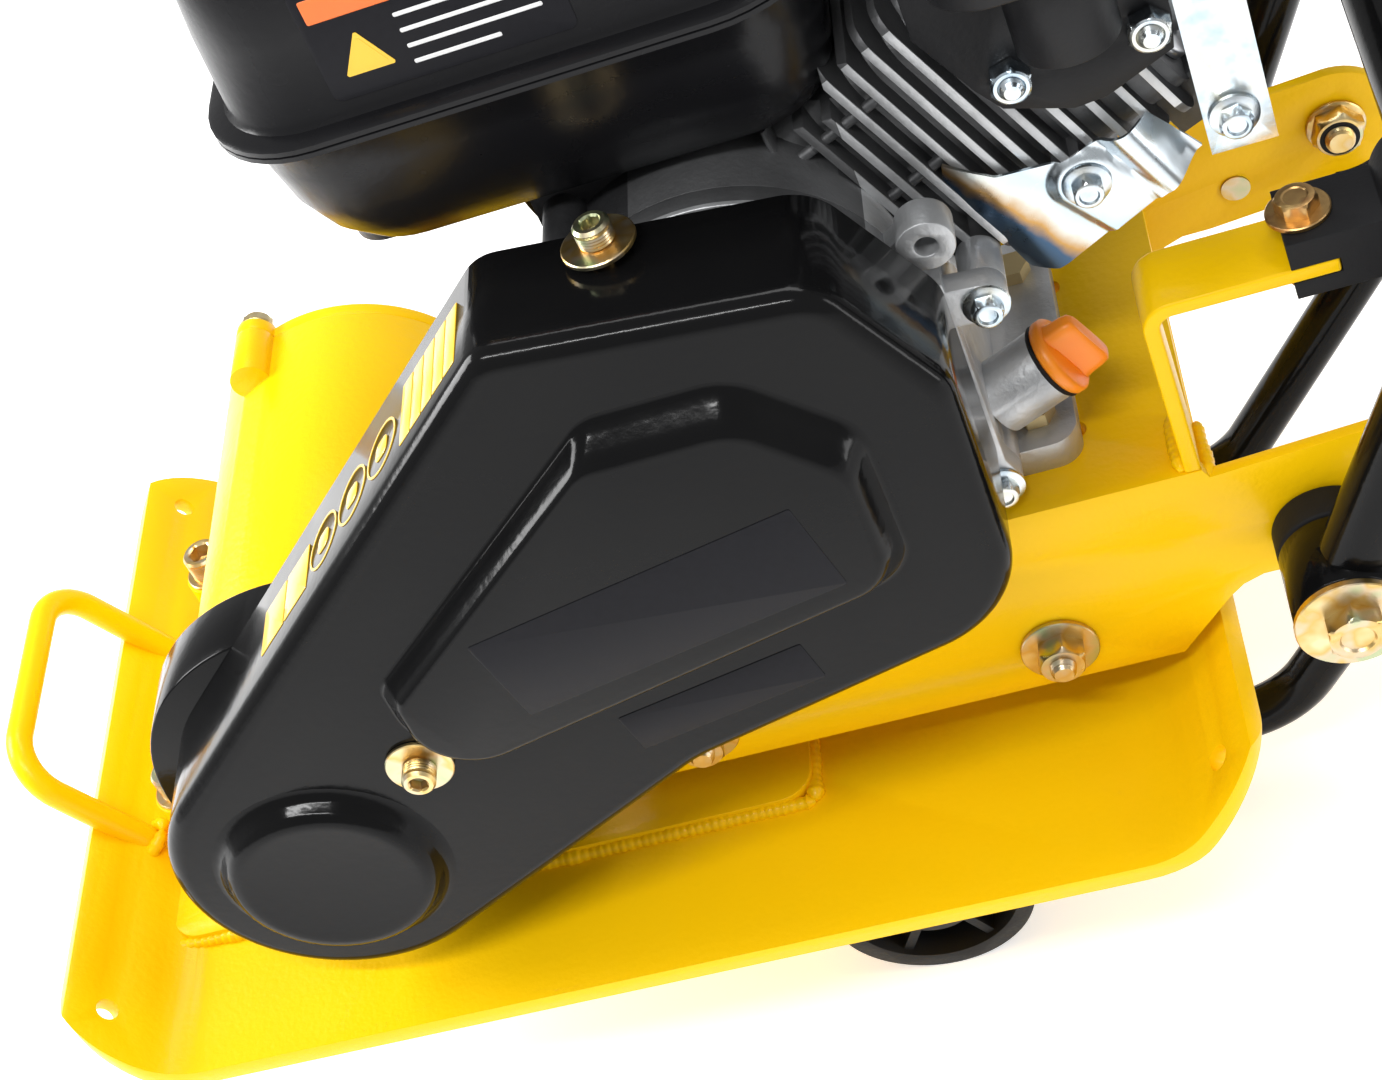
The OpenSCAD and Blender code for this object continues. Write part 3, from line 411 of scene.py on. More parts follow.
def thread(radius, base, tall, pitch=1.25):
    turns = int(tall / pitch)
    cut = [ring for k in range(turns) for ring in (("round", radius, base + k * pitch),
                                                   ("round", radius - 0.6, base + (k + 0.5) * pitch))]
    return cut + [("round", radius - 0.3, base + turns * pitch), ("round", radius - 1.3, base + tall + 0.3)]


plated_gold = Finish("yellow_passivate", Metallic=1.0, Specular_IOR_Level=0.6)
bloom = plated_gold.noise(70, 2)
plated_gold.set("Base Color", plated_gold.ramp(bloom, (0.3, (0.75, 0.62, 0.36)), (0.47, (0.62, 0.42, 0.14)),
                                               (0.56, (0.62, 0.50, 0.34)), (0.68, (0.45, 0.50, 0.30))))
plated_gold.set("Roughness", 0.22 + 0.2 * plated_gold.noise(240))
plated_gold.bump(plated_gold.noise(900, 2), 0.15, 0.0003)

broken_edges(yellow_coat, 1.6, "exciter_housing")
broken_edges(yellow_coat, 1.0, "exciter_end_cover")

EXCITER = (-99, 93)
FOOT_REACH = 100
SCREW_Y = (-54, 78)
BOSS_TOP = 48
screws = bmesh.new()
for side in (-1, 1):
    for y in SCREW_Y:
        rings = ([("round", 6, 6), ("round", 6, BOSS_TOP)] + washer(12, BOSS_TOP, 2)
                 + socket_head(9, BOSS_TOP + 2, 12, 10))
        turned(screws, (EXCITER[0] + side * FOOT_REACH, y, 0), (0, 0, 1), rings, 0.4 * side)
screws = hand_in(made_object("exciter_screws_turned", screws), plated_gold, "exciter_screws")
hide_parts("exciter_screws")

COVER_ANGLES = (25, 115, 205, 295)
COVER_REACH = 68
COVER_FACE = 103
covers = bmesh.new()
for angle in COVER_ANGLES:
    x = EXCITER[0] + COVER_REACH * math.cos(math.radians(angle))
    z = EXCITER[1] + COVER_REACH * math.sin(math.radians(angle))
    rings = [("round", 4, 79 - COVER_FACE), ("round", 4, 0)] + washer(8.5, 0, 1.6) + hex_head(13, 1.6, 5.4)
    turned(covers, (x, COVER_FACE, z), (0, 1, 0), rings, math.radians(angle))
covers = hand_in(made_object("cover_bolts_turned", covers), plated_gold, "cover_bolts")
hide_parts("cover_bolts")

ground_steel = Finish("ground_steel", Metallic=1.0)
scratches = ground_steel.noise(160, 4, (0.15, 3, 0.15))
ground_steel.set("Base Color", ground_steel.mix(scratches, (0.48, 0.49, 0.51), (0.66, 0.67, 0.69)))
ground_steel.set("Roughness", 0.2 + 0.25 * scratches)
ground_steel.bump(scratches, 0.1, 0.0002)
broken_edges(ground_steel, 0.6, "exciter_bearings", "exciter_shaft")

moulded_rubber = Finish("moulded_rubber", Specular_IOR_Level=0.22)
dust = moulded_rubber.noise(90, 5)
moulded_rubber.set("Base Color", moulded_rubber.mix(dust, (0.004, 0.004, 0.005), (0.013, 0.013, 0.014)))
moulded_rubber.set("Roughness", 0.5 + 0.3 * dust)
moulded_rubber.bump(moulded_rubber.noise(700, 3), 0.3, 0.0004)
broken_edges(moulded_rubber, 0.8, "exciter_seal")


# --- Engine bed and its rubber mounts ------------------------------------------------
# A folded and welded bed carries the engine. Four rubber blocks bonded to studs hang it
# between the lugs on the sole plate, held with passivated nuts.
broken_edges(yellow_coat, 1.0, "engine_bed", "mount_lugs")
broken_edges(moulded_rubber, 1.5, "rubber_mounts")

DECK = (-15, 253)
DECK_Z = 130
BED_Y = 102
MOUNT_X = (40, 184)
MOUNT_Z = 57.5
LUG_Y = 56
weld_beads("bed_welds", 2.6, "engine_bed",
           *[[(DECK[0] + 4, s * (BED_Y - 6.5), DECK_Z - 7.5), (DECK[1] - 4, s * (BED_Y - 6.5), DECK_Z - 7.5)]
             for s in (-1, 1)])
weld_beads("lug_welds", 2.8, "mount_lugs",
           *[[(x - h, s * (LUG_Y + 6.5), z), (x + h, s * (LUG_Y + 6.5), z)]
             for x, h, z in ((MOUNT_X[0], 20, 15), (MOUNT_X[1], 23, 9)) for s in (-1, 1)])

nuts = bmesh.new()
for x in MOUNT_X:
    for side in (-1, 1):
        outer = ([("round", 5, -16), ("round", 5, 0)] + washer(15, 0, 2.5)
                 + [("hex", 8.5, 2.5), ("hex", 8.5, 9), ("round", 8.6, 10.2)]
                 + [("round", 8.2, 11), ("round", 5, 11)]
                 + thread(5, 11.2, 3.6))
        turned(nuts, (x, side * BED_Y, MOUNT_Z), (0, side, 0), outer, 0.3)
        inner = ([("round", 5, -16), ("round", 5, 0)] + hex_head(17, 0, 8)
                 + [("round", 5, 7.2), ("round", 4, 9)])
        turned(nuts, (x, side * LUG_Y, MOUNT_Z), (0, -side, 0), inner, 0.7)
nuts = hand_in(made_object("mount_nuts_turned", nuts), plated_gold, "mount_nuts")
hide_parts("mount_nuts")


# --- Handle rest ---------------------------------------------------------------------
# A flat steel strap, bent at a right angle and welded to the bed, carries the rubber
# block that the handle's cross tube leans on. One bolt clamps the block.
STRAP_X = (247, 253)
STRAP_Y = (-102, -72)
STRAP_TOP = 210
strap = bmesh.new()
STRAP_END = 315
faces = []
for x, z, bend in ((STRAP_X[0], STRAP_TOP, 11), (STRAP_X[1], STRAP_TOP - 6, 5)):
    faces.append(bent_line([(x, 0, DECK_Z), (x, 0, z), (STRAP_END, 0, z)], bend, 1.5))
outline = faces[0] + faces[1][::-1]
sides = []
for y in STRAP_Y:
    sides.append([strap.verts.new(at(p.x, y, p.z)) for p in outline])
strap.faces.new(sides[0])
strap.faces.new(sides[1][::-1])
for k in range(len(outline)):
    strap.faces.new((sides[0][k], sides[0][k - 1], sides[1][k - 1], sides[1][k]))
strap = made_object("stop_strap_bent", strap)
bevel = strap.modifiers.new("edges", "BEVEL")
bevel.width = 1.2 * MM
bevel.segments = 3
bevel.limit_method = "ANGLE"
bevel.angle_limit = math.radians(50)
settle(strap)
hand_in(strap, yellow_coat, "stop_strap")
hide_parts("stop_strap")
weld_beads("strap_welds", 2.8, "stop_strap",
           [(254.5, STRAP_Y[0] + 1, DECK_Z - 5), (254.5, STRAP_Y[1], DECK_Z - 5)],
           [(246, STRAP_Y[0] + 1, DECK_Z + 1), (246, STRAP_Y[1], DECK_Z + 1)])

broken_edges(moulded_rubber, 2.0, "stop_block")
BLOCK_BOLT = (306, -86.5)
clamp = bmesh.new()
rings = [("round", 4, -26), ("round", 4, 0)] + washer(11, 0, 2) + hex_head(13, 2, 5.5, 0.4)
turned(clamp, (*BLOCK_BOLT, STRAP_TOP + 11), (0, 0, 1), rings, 0.35)
turned(clamp, (*BLOCK_BOLT, STRAP_TOP - 13.5), (0, 0, -1),
       [("hex", 6.5, 0), ("hex", 6.5, 5.7), ("round", 6, 6.4)])
brown_plate = Finish("brown_passivate", Metallic=1.0)
rust = brown_plate.noise(110, 3)
brown_plate.set("Base Color", brown_plate.ramp(rust, (0.35, (0.50, 0.30, 0.12)), (0.55, (0.62, 0.40, 0.16)),
                                               (0.7, (0.38, 0.18, 0.07))))
brown_plate.set("Roughness", 0.24 + 0.2 * rust)
brown_plate.bump(brown_plate.noise(800), 0.12, 0.0003)
clamp = hand_in(made_object("block_bolt_turned", clamp), brown_plate, "stop_block_bolt")
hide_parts("stop_block_bolt")


# --- Engine castings -----------------------------------------------------------------
# The block, side cover and head are die-cast aluminium, left grey from the mould, with
# cooling fins along the sloping cylinder; painted shade darkens them between the fins, under
# the tank and behind the guard. The rocker cover is pressed steel.
cast_grey = Finish("cast_aluminium", Metallic=0.7)
grain = cast_grey.noise(520, 4)
stain = cast_grey.noise(24, 4)
bare = cast_grey.ramp(stain, (0.3, (0.30, 0.305, 0.31)), (0.5, (0.52, 0.53, 0.54)),
                      (0.7, (0.66, 0.67, 0.68)))
east, depth, height = [cast_grey.node("ShaderNodeSeparateXYZ", {}, {0: cast_grey.place}, k)
                       for k in range(3)]
CRANK = (115, 236)
CYLINDER_TILT = math.radians(25)
crank = at(CRANK[0], 0, CRANK[1])
along_fins = (east - crank.x) * math.cos(CYLINDER_TILT) + (height - crank.z) * math.sin(CYLINDER_TILT)
FIRST_FIN = 62
FIN_EDGE_Y = -68.9
# Painted shade: these masks mark where shade falls on the grey casting, between the fins, under the tank and
# behind the belt guard.
shade_between_fins = (along_fins > FIRST_FIN * MM) * (depth > at(0, FIN_EDGE_Y, 0).y) * 0.85
shade_under_tank = (height > at(0, 0, 284).z) * (east < at(96, 0, 0).x) * 0.95
shade_behind_guard = (height > at(0, 0, 258).z) * (depth > at(0, -94, 0).y)
shade_behind_guard = shade_behind_guard * (east < at(170, 0, 0).x) * 0.75
painted_shade = shade_between_fins.math("MAXIMUM", shade_between_fins.math("MAXIMUM", shade_between_fins, shade_under_tank), shade_behind_guard)
# The masked places are mixed almost to black as painted shade.
cast_grey.set("Base Color", cast_grey.mix(painted_shade, bare, (0.022, 0.022, 0.024)))
cast_grey.set("Roughness", 0.36 + 0.22 * grain)
cast_grey.bump(grain + 0.5 * cast_grey.noise(120, 3), 0.35, 0.0006)
broken_edges(cast_grey, 0.9, "engine_block", "side_cover", "cylinder_head")
broken_edges(cast_grey, 0.8, "carburettor", "flywheel")
broken_edges(ground_steel, 1.2, "rocker_cover")
broken_edges(ground_steel, 0.5, "crankshaft", "piston")


# --- Zinc-plated bolts, shield and bracket -------------------------------------------
# Flanged M6 bolts with dished heads close the side cover. The same bolts hold a sheet
# shield under the fins, tinted by the exhaust's heat at one end, and an upright strap.
def on_cylinder(s, y, t):
    """A place s along the cylinder from the crankshaft and t across it."""
    c, w = math.cos(CYLINDER_TILT), math.sin(CYLINDER_TILT)
    return Vector((CRANK[0] + s * c - t * w, y, CRANK[1] + s * w + t * c))


ribs = bmesh.new()
STEPS = 12
for t, s_from, s_to in ((28, 44, 90), (-6, 62, 90)):
    places = [on_cylinder(s_from + (s_to - s_from) * k / STEPS, -65.5, t) for k in range(STEPS + 1)]
    swept(ribs, places, [2.1] * len(places), 12)
LOW_FIN = 51
FIN_SECTION = ((-1.4, -56), (-1.2, -66), (-0.5, -67.2), (0.5, -67.2), (1.2, -66), (1.4, -56))
low_fin = []
for k in range(STEPS + 1):
    t = 46 - 34 * k / STEPS
    curl = 0.016 * max(0, t - 30) ** 2
    section = [on_cylinder(LOW_FIN + curl + half, y, t) for half, y in FIN_SECTION]
    low_fin.append([ribs.verts.new(at(*place)) for place in section])
for low, high in zip(low_fin, low_fin[1:]):
    for k in range(6):
        ribs.faces.new((low[k], high[k], high[k - 5], low[k - 5]))
ribs.faces.new(low_fin[0])
ribs.faces.new(low_fin[-1][::-1])
hand_in(made_object("cylinder_ribs", ribs), cast_grey, "engine_block")


bright_zinc = Finish("bright_zinc", Metallic=1.0)
cloud = bright_zinc.noise(90, 3)
bright_zinc.set("Base Color", bright_zinc.ramp(cloud, (0.35, (0.42, 0.52, 0.60)), (0.5, (0.60, 0.66, 0.70)),
                                               (0.66, (0.62, 0.62, 0.56))))
bright_zinc.set("Roughness", 0.16 + 0.18 * cloud)
bright_zinc.bump(bright_zinc.noise(600, 2), 0.12, 0.0003)

COVER_BOLTS = ((200, 227), (184, 142), (58, 150), (70, 288))
COVER_FACE_Y = -96
SHIELD_BOLT = (121, -42)
SHIELD_Y = -76
BRACKET_BOLT = (294, 260)


def flange_bolt():
    return [("round", 8.1, 0), ("round", 8.5, 0.5), ("round", 8.2, 1.4), ("round", 6.3, 2.1),
            ("hex", 5, 2.2), ("hex", 5, 6.4), ("round", 5.1, 7.0), ("round", 4.6, 7.3),
            ("round", 3.5, 7.3), ("round", 3.0, 6.3), ("round", 1.0, 6.1)]


bolts = bmesh.new()
for number, (x, z) in enumerate(COVER_BOLTS):
    shank = [("round", 3, -20), ("round", 3, -0.1)]
    turned(bolts, (x, COVER_FACE_Y, z), (0, -1, 0), shank + flange_bolt(), number)
place = on_cylinder(SHIELD_BOLT[0], SHIELD_Y, SHIELD_BOLT[1])
turned(bolts, place, (0, -1, 0), [("round", 3, -14), ("round", 3, -0.1)] + flange_bolt(), 0.5)
turned(bolts, (BRACKET_BOLT[0], SHIELD_Y, BRACKET_BOLT[1]), (0, -1, 0),
       [("round", 3, -14), ("round", 3, -0.1)] + flange_bolt(), 0.2)
bolts = hand_in(made_object("flange_bolts_turned", bolts), bright_zinc, "flange_bolts")
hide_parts("flange_bolts")
broken_edges(bright_zinc, 0.6, "upright_bracket")

SHIELD_OUTLINE = ((82, -62), (90, -67), (155, -62), (151, -37), (140, -33), (119, -30), (100, -20), (90, -4),
                  (86, -10))
SHIELD_CELL = 1.3


def inside(outline, s, t):
    """True if a flat place lies inside a closed line."""
    odd = False
    for (s0, t0), (s1, t1) in zip(outline, outline[1:] + outline[:1]):
        if (t0 > t) != (t1 > t) and s < s0 + (t - t0) * (s1 - s0) / (t1 - t0):
            odd = not odd
    return odd


def nearest(outline, s, t):
    """The nearest place on a closed line."""
    spot = Vector((s, t))
    best = None
    for a, b in zip(outline, outline[1:] + outline[:1]):
        a, b = Vector(a), Vector(b)
        part = max(0, min(1, (spot - a).dot(b - a) / (b - a).length_squared))
        place = a.lerp(b, part)
        if best is None or (place - spot).length < (best - spot).length:
            best = place
    return best


def pressed(s, t):
    """How far the sheet stands back at a place: a seat round the bolt, and a rolled end."""
    seat = Vector((s, t)) - Vector((SHIELD_BOLT[0] + max(0, min(5, (SHIELD_BOLT[1] - t) / 5)),
                                    max(-66, min(t, SHIELD_BOLT[1]))))
    step = max(0, min(1, (seat.length - 9.5) / 4))
    depth = 2.6 * step * step * (3 - 2 * step)
    if s > 134:
        depth -= 5.5 * math.sin(min(1.35, (s - 134) / 14) * math.pi)
    if s < 96:
        depth += 0.03 * (96 - s) ** 2
    return depth


shield = bmesh.new()
spots = {}
cells = []
SHIELD_CORNER = (80, -69)
for i in range(60):
    for j in range(52):
        s0, t0 = SHIELD_CORNER[0] + i * SHIELD_CELL, SHIELD_CORNER[1] + j * SHIELD_CELL
        if inside(SHIELD_OUTLINE, s0 + SHIELD_CELL / 2, t0 + SHIELD_CELL / 2):
            cells.append((i, j))
            for key in ((i, j), (i + 1, j), (i + 1, j + 1), (i, j + 1)):
                spots.setdefault(key, shield.verts.new(at(0, 0, 0)))
for i, j in cells:
    shield.faces.new([spots[key] for key in ((i, j), (i + 1, j), (i + 1, j + 1), (i, j + 1))])
for (i, j), vert in spots.items():
    s0, t0 = SHIELD_CORNER[0] + i * SHIELD_CELL, SHIELD_CORNER[1] + j * SHIELD_CELL
    if vert.is_boundary:
        s0, t0 = nearest(SHIELD_OUTLINE, s0, t0)
    vert.co = at(*on_cylinder(s0, SHIELD_Y + pressed(s0, t0), t0))
shield = made_object("air_shield_pressed", shield, 60)
sheet_metal = shield.modifiers.new("thickness", "SOLIDIFY")
sheet_metal.thickness = 1.2 * MM
sheet_metal.offset = -1
settle(shield, 50)
burnt_zinc = Finish("burnt_zinc", Metallic=1.0)
spot = [burnt_zinc.node("ShaderNodeSeparateXYZ", {}, {0: burnt_zinc.place}, k) for k in (0, 2)]
tip = ((spot[0] - crank.x) * math.cos(CYLINDER_TILT) + (spot[1] - crank.z) * math.sin(CYLINDER_TILT))
low = ((spot[1] - crank.z) * math.cos(CYLINDER_TILT) - (spot[0] - crank.x) * math.sin(CYLINDER_TILT))
swirl = burnt_zinc.noise(55, 4)
heat = tip * 1000 + 0.2 * (low * 1000) + 12 * swirl
burnt_zinc.set("Base Color", burnt_zinc.ramp(
    (heat - 68) * 0.02, (0.10, (0.50, 0.62, 0.70)), (0.26, (0.05, 0.08, 0.12)), (0.44, (0.05, 0.09, 0.15)),
    (0.52, (0.42, 0.24, 0.08)), (0.62, (0.60, 0.62, 0.58)), (0.80, (0.48, 0.60, 0.68)),
    (0.96, (0.62, 0.68, 0.72))))
burnt_zinc.set("Roughness", 0.18 + 0.2 * swirl)
burnt_zinc.bump(burnt_zinc.noise(40, 2), 0.2, 0.002)
hand_in(shield, burnt_zinc, "air_shield")
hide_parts("air_shield")


# --- Exhaust, muffler, air cleaner and starter ---------------------------------------
# The exhaust flange is held by two studs and nuts. Flange, muffler, fan housing and
# starter cover are pressed steel painted black; the air cleaner is moulded.
black_coat = Finish("black_powder_coat", Specular_IOR_Level=0.12)
black_coat.mottle(18, (0.003, 0.003, 0.0035), (0.006, 0.006, 0.006))
black_coat.set("Roughness", 0.08 + 0.1 * black_coat.noise(40))
black_coat.bump(black_coat.noise(260, 2) + 1.5 * black_coat.noise(22, 2), 0.12, 0.0005)
heat_black = Finish("heat_black", Specular_IOR_Level=0.25)
soot = heat_black.noise(70, 5)
heat_black.set("Base Color", heat_black.mix(soot, (0.004, 0.004, 0.005), (0.012, 0.012, 0.013)))
heat_black.set("Roughness", 0.36 + 0.25 * soot)
heat_black.bump(heat_black.noise(420, 3), 0.25, 0.0005)
matt_plastic = Finish("matt_plastic", Specular_IOR_Level=0.3)
spark = matt_plastic.noise(950, 2)
matt_plastic.mottle(50, (0.005, 0.005, 0.006), (0.012, 0.012, 0.013))
matt_plastic.set("Roughness", 0.38 + 0.2 * spark)
matt_plastic.bump(spark, 0.3, 0.0003)
broken_edges(heat_black, 1.0, "exhaust_elbow", "muffler")
broken_edges(black_coat, 1.2, "fan_housing", "recoil_cover")
broken_edges(matt_plastic, 2.0, "air_cleaner_base", "air_cleaner_cover")
broken_edges(matt_plastic, 1.5, "starter_grip")

STUDS = ((229, 302), (275, 306))
FLANGE_FACE = -78
nuts = bmesh.new()
for number, (x, z) in enumerate(STUDS):
    rings = ([("round", 4, -20), ("round", 4, 0.2), ("hex", 6.5, 0.2), ("hex", 6.5, 5.6),
              ("round", 6.6, 6.5), ("round", 5.9, 7), ("round", 4.7, 7), ("round", 4, 6.4)]
             + thread(4, 6.6, 2.8, 1.0))
    turned(nuts, (x, FLANGE_FACE, z), (0, -1, 0), rings, 0.3 + number)
nuts = hand_in(made_object("exhaust_nuts_turned", nuts), bright_zinc, "exhaust_nuts")
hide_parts("exhaust_nuts")


# --- Fuel tank -----------------------------------------------------------------------
# Two deep-drawn steel shells, seamed round the middle in a flat lip and enamelled black,
# sit over the engine with a vented screw cap on top.
def rounded_box(x0, x1, half, radius, z, steps=10):
    """A ring with rounded corners, level at z."""
    ring = []
    for number, (cx, cy) in enumerate(((x1 - radius, half - radius), (x0 + radius, half - radius),
                                       (x0 + radius, radius - half), (x1 - radius, radius - half))):
        for k in range(steps + 1):
            t = math.radians(90 * (number + k / steps))
            ring.append(at(cx + radius * math.cos(t), cy + radius * math.sin(t), z))
    return ring


def skinned(bm, rings):
    """A closed skin over rings with the same number of points."""
    made = [[bm.verts.new(p) for p in ring] for ring in rings]
    for low, high in zip(made, made[1:]):
        for k in range(len(low)):
            bm.faces.new((low[k], low[k - 1], high[k - 1], high[k]))
    bm.faces.new(made[0])
    bm.faces.new(made[-1])


TANK_SHELL = (
    (16, 152, 54, 20, 300.2), (4, 164, 66, 26, 301.5), (-4, 172, 73, 30, 306), (-12, 176, 79, 33, 316),
    (-17, 178, 83, 34, 330), (-19.5, 179.5, 84.5, 34, 346), (-20.5, 180.5, 85.5, 34, 358),
    (-22, 182, 87, 35, 361),
    (-28.5, 188.5, 93.5, 41, 361.9), (-29.8, 189.8, 94.8, 42, 362.8), (-29.8, 189.8, 94.8, 42, 364.6),
    (-29, 189, 94, 41.5, 365), (-29.8, 189.8, 94.8, 42, 365.4), (-29.8, 189.8, 94.8, 42, 367.2),
    (-28.5, 188.5, 93.5, 41, 368.1), (-23.5, 183.5, 88.5, 37, 369), (-22, 182, 87, 36, 371.5),
    (-21, 181, 86, 36, 400), (-19, 179, 84, 36, 424), (-14, 174, 79, 35, 440), (-6, 166, 71, 32, 450),
    (6, 154, 59, 27, 455.6), (20, 140, 45, 22, 457.8))
CAP_PLACE = (70, 20)
tank_enamel = Finish("tank_enamel", Specular_IOR_Level=0.2)
tank_enamel.mottle(20, (0.005, 0.005, 0.006), (0.009, 0.009, 0.010))
tank_enamel.set("Roughness", 0.2 + 0.12 * tank_enamel.noise(50))
tank_enamel.bump(tank_enamel.noise(300, 2) + tank_enamel.noise(26, 2), 0.14, 0.0005)
tank = bmesh.new()
skinned(tank, [rounded_box(*station) for station in TANK_SHELL])
neck = ((27, 5.5), (24, 8.2), (22, 9), (22, 11.5), (20, 12), (19, 8))
turned(tank, (*CAP_PLACE, 450), (0, 0, 1), [("round", r, h) for r, h in neck])
tank = hand_in(made_object("fuel_tank_drawn", tank), tank_enamel, "fuel_tank")
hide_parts("fuel_tank")
broken_edges(matt_plastic, 1.6, "fuel_cap")


# --- Levers, switch and oil filler cap -----------------------------------------------
# Small moulded controls on the engine. The oil cap has a flat grip across its head and
# seals on a black ring.
orange_plastic = Finish("orange_plastic", Subsurface_Weight=0.1)
orange_plastic.mottle(60, (1.0, 0.24, 0.006), (1.0, 0.31, 0.02))
orange_plastic.set("Roughness", 0.34 + 0.1 * orange_plastic.noise(300))
orange_plastic.bump(orange_plastic.noise(700), 0.15, 0.0003)
red_plastic = Finish("red_plastic")
red_plastic.mottle(60, (0.55, 0.012, 0.01), (0.68, 0.03, 0.015))
red_plastic.set("Roughness", 0.3 + 0.12 * red_plastic.noise(300))
red_plastic.bump(red_plastic.noise(700), 0.15, 0.0003)
broken_edges(matt_plastic, 0.8, "choke_lever")
broken_edges(red_plastic, 0.8, "fuel_cock_lever", "engine_switch")

OIL_NECK = (190, -72, 162)
neck_way = Vector((math.cos(CYLINDER_TILT), 0, math.sin(CYLINDER_TILT)))
cap = bmesh.new()
plug = ((9.5, 12), (9.5, 25.6), (14.2, 25.8), (15, 26.8), (15, 29.4), (14, 30.4), (12.4, 30.8), (8, 31.6))
turned(cap, OIL_NECK, neck_way, [("round", r, h) for r, h in plug])
lift = Vector((-math.sin(CYLINDER_TILT), 0, math.cos(CYLINDER_TILT)))
across = Vector((0, 1, 0))
grip = []
GRIP = ((29.5, 13, 5.6), (33, 12.6, 4.6), (38, 12.4, 4.2), (40.6, 11.8, 3.9), (41.8, 10.4, 3.0))
for height, wide, thick in GRIP:
    ring = []
    for k in range(40):
        t = 2 * math.pi * k / 40
        reach = (abs(math.cos(t)) ** 5 + abs(math.sin(t)) ** 5) ** -0.2
        middle = Vector(OIL_NECK) + neck_way * height
        ring.append(at(*(middle + lift * wide * reach * math.cos(t) + across * thick * reach * math.sin(t))))
    grip.append(ring)
skinned(cap, grip)
cap = hand_in(made_object("oil_cap_moulded", cap, 50), orange_plastic, "oil_cap")
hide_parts("oil_cap")
seal = bmesh.new()
turned(seal, OIL_NECK, neck_way, [("round", 12, 23.9), ("round", 14.2, 24.0), ("round", 14.9, 24.8),
                                  ("round", 14.2, 25.6), ("round", 12, 25.7)])
hand_in(made_object("oil_cap_seal", seal), moulded_rubber, "oil_cap")


# --- Belt drive ----------------------------------------------------------------------
# A centrifugal clutch on the crankshaft drives the exciter's pulley through one V-belt.
broken_edges(cast_grey, 0.7, "exciter_pulley", "clutch_drum")
broken_edges(ground_steel, 0.6, "clutch_hub")
broken_edges(moulded_rubber, 0.5, "drive_belt")


# --- Belt guard ----------------------------------------------------------------------
# A deep-drawn steel pan, powder coated gloss black, with rolled shoulders, a raised panel
# and a round bulge over the exciter's pulley. A back plate and a dish close it.
GUARD_FRONT = -158
GUARD_BACK = -104
GUARD_WALL = 2.5
SHOULDER = 8
END_RADIUS = 65
GUARD_CORNERS = ((54, 102, 60), (187, 137, 44), (189, 248, 24), (160, 301, 22), (48, 314, 16))
PANEL_FOOT = ((-41, 182, 12), (71, 277, 18), (122, 277, 26), (156, 242, 22), (156, 175, 22), (-41, 128, 30))
PANEL_TOP = ((-34, 180, 9), (66, 265, 12), (118.5, 265, 20), (147.5, 234.6, 17), (147.5, 182, 16),
             (-34, 139, 22))


def rounded_corner(a, b, c, radius, count=0):
    """Points of the arc that rounds the flat corner b between a and c."""
    into, out = (a - b).normalized(), (c - b).normalized()
    half = into.angle(out) / 2
    centre = b + (into + out).normalized() * radius / math.sin(half)
    first = b + into * radius / math.tan(half) - centre
    last = b + out * radius / math.tan(half) - centre
    count = count or max(4, round(radius * (math.pi - 2 * half) / 2.2))
    turn = first.angle_signed(last)
    return [centre + Matrix.Rotation(-turn * k / count, 2) @ first for k in range(count + 1)]


def inset(ring, distance):
    """A closed flat line moved inwards, for a line that runs anticlockwise."""
    moved = []
    for k, point in enumerate(ring):
        before, after = point - ring[k - 1], ring[(k + 1) % len(ring)] - point
        sides = [Vector((-d.y, d.x)).normalized() for d in (before, after)]
        middle = (sides[0] + sides[1]).normalized()
        moved.append(point + middle * distance / max(0.5, middle.dot(sides[0])))
    return moved


def touching(corner, side):
    """The angle round the exciter at which a line from a corner touches the round end."""
    away = Vector(corner[:2]) - Vector(EXCITER)
    return math.atan2(away.y, away.x) + side * math.acos(END_RADIUS / away.length)


first, last = touching(GUARD_CORNERS[-1], 1), touching(GUARD_CORNERS[0], -1) + 2 * math.pi
round_end = [Vector(EXCITER) + END_RADIUS * Vector((math.cos(t), math.sin(t)))
             for t in (first + (last - first) * k / 60 for k in range(61))]
spots = [round_end[-1]] + [Vector(c[:2]) for c in GUARD_CORNERS] + [round_end[0]]
guard_line = list(round_end)
for k, corner in enumerate(GUARD_CORNERS):
    guard_line += rounded_corner(spots[k], spots[k + 1], spots[k + 2], corner[2])
panel_foot, panel_top = [], []
for line, corners in ((panel_foot, PANEL_FOOT[::-1]), (panel_top, PANEL_TOP[::-1])):
    spots = [Vector(c[:2]) for c in corners]
    for k, corner in enumerate(corners):
        line += rounded_corner(spots[k - 1], spots[k], spots[(k + 1) % 6], corner[2], 16)


def facing_ring(line, y):
    return [at(p.x, y, p.y) for p in line]


guard = bmesh.new()
rings = [facing_ring(inset(guard_line, GUARD_WALL + 7), GUARD_FRONT + GUARD_WALL)]
rings.append(facing_ring(inset(guard_line, GUARD_WALL + 1), GUARD_FRONT + GUARD_WALL + 2))
rings.append(facing_ring(inset(guard_line, GUARD_WALL), GUARD_FRONT + GUARD_WALL + 8))
rings.append(facing_ring(inset(guard_line, GUARD_WALL), GUARD_BACK))
rings.append(facing_ring(inset(guard_line, 0.8), GUARD_BACK))
rings.append(facing_ring(guard_line, GUARD_BACK - 0.8))
for k in range(9):
    t = math.radians(90 * k / 8)
    rings.append(facing_ring(inset(guard_line, SHOULDER * (1 - math.cos(t))),
                             GUARD_FRONT + SHOULDER * (1 - math.sin(t))))
skinned(guard, rings)
PANEL_SLOPE = ((-0.25, -0.1), (-0.1, 0.1), (0.02, 0.5), (0.12, 1.5), (0.3, 3.9), (0.55, 7.3), (0.75, 9.8),
               (0.88, 11), (1, 11.7), (1.15, 12))
skinned(guard, [facing_ring([a.lerp(b, way) for a, b in zip(panel_foot, panel_top)], GUARD_FRONT - rise)
                for way, rise in PANEL_SLOPE])
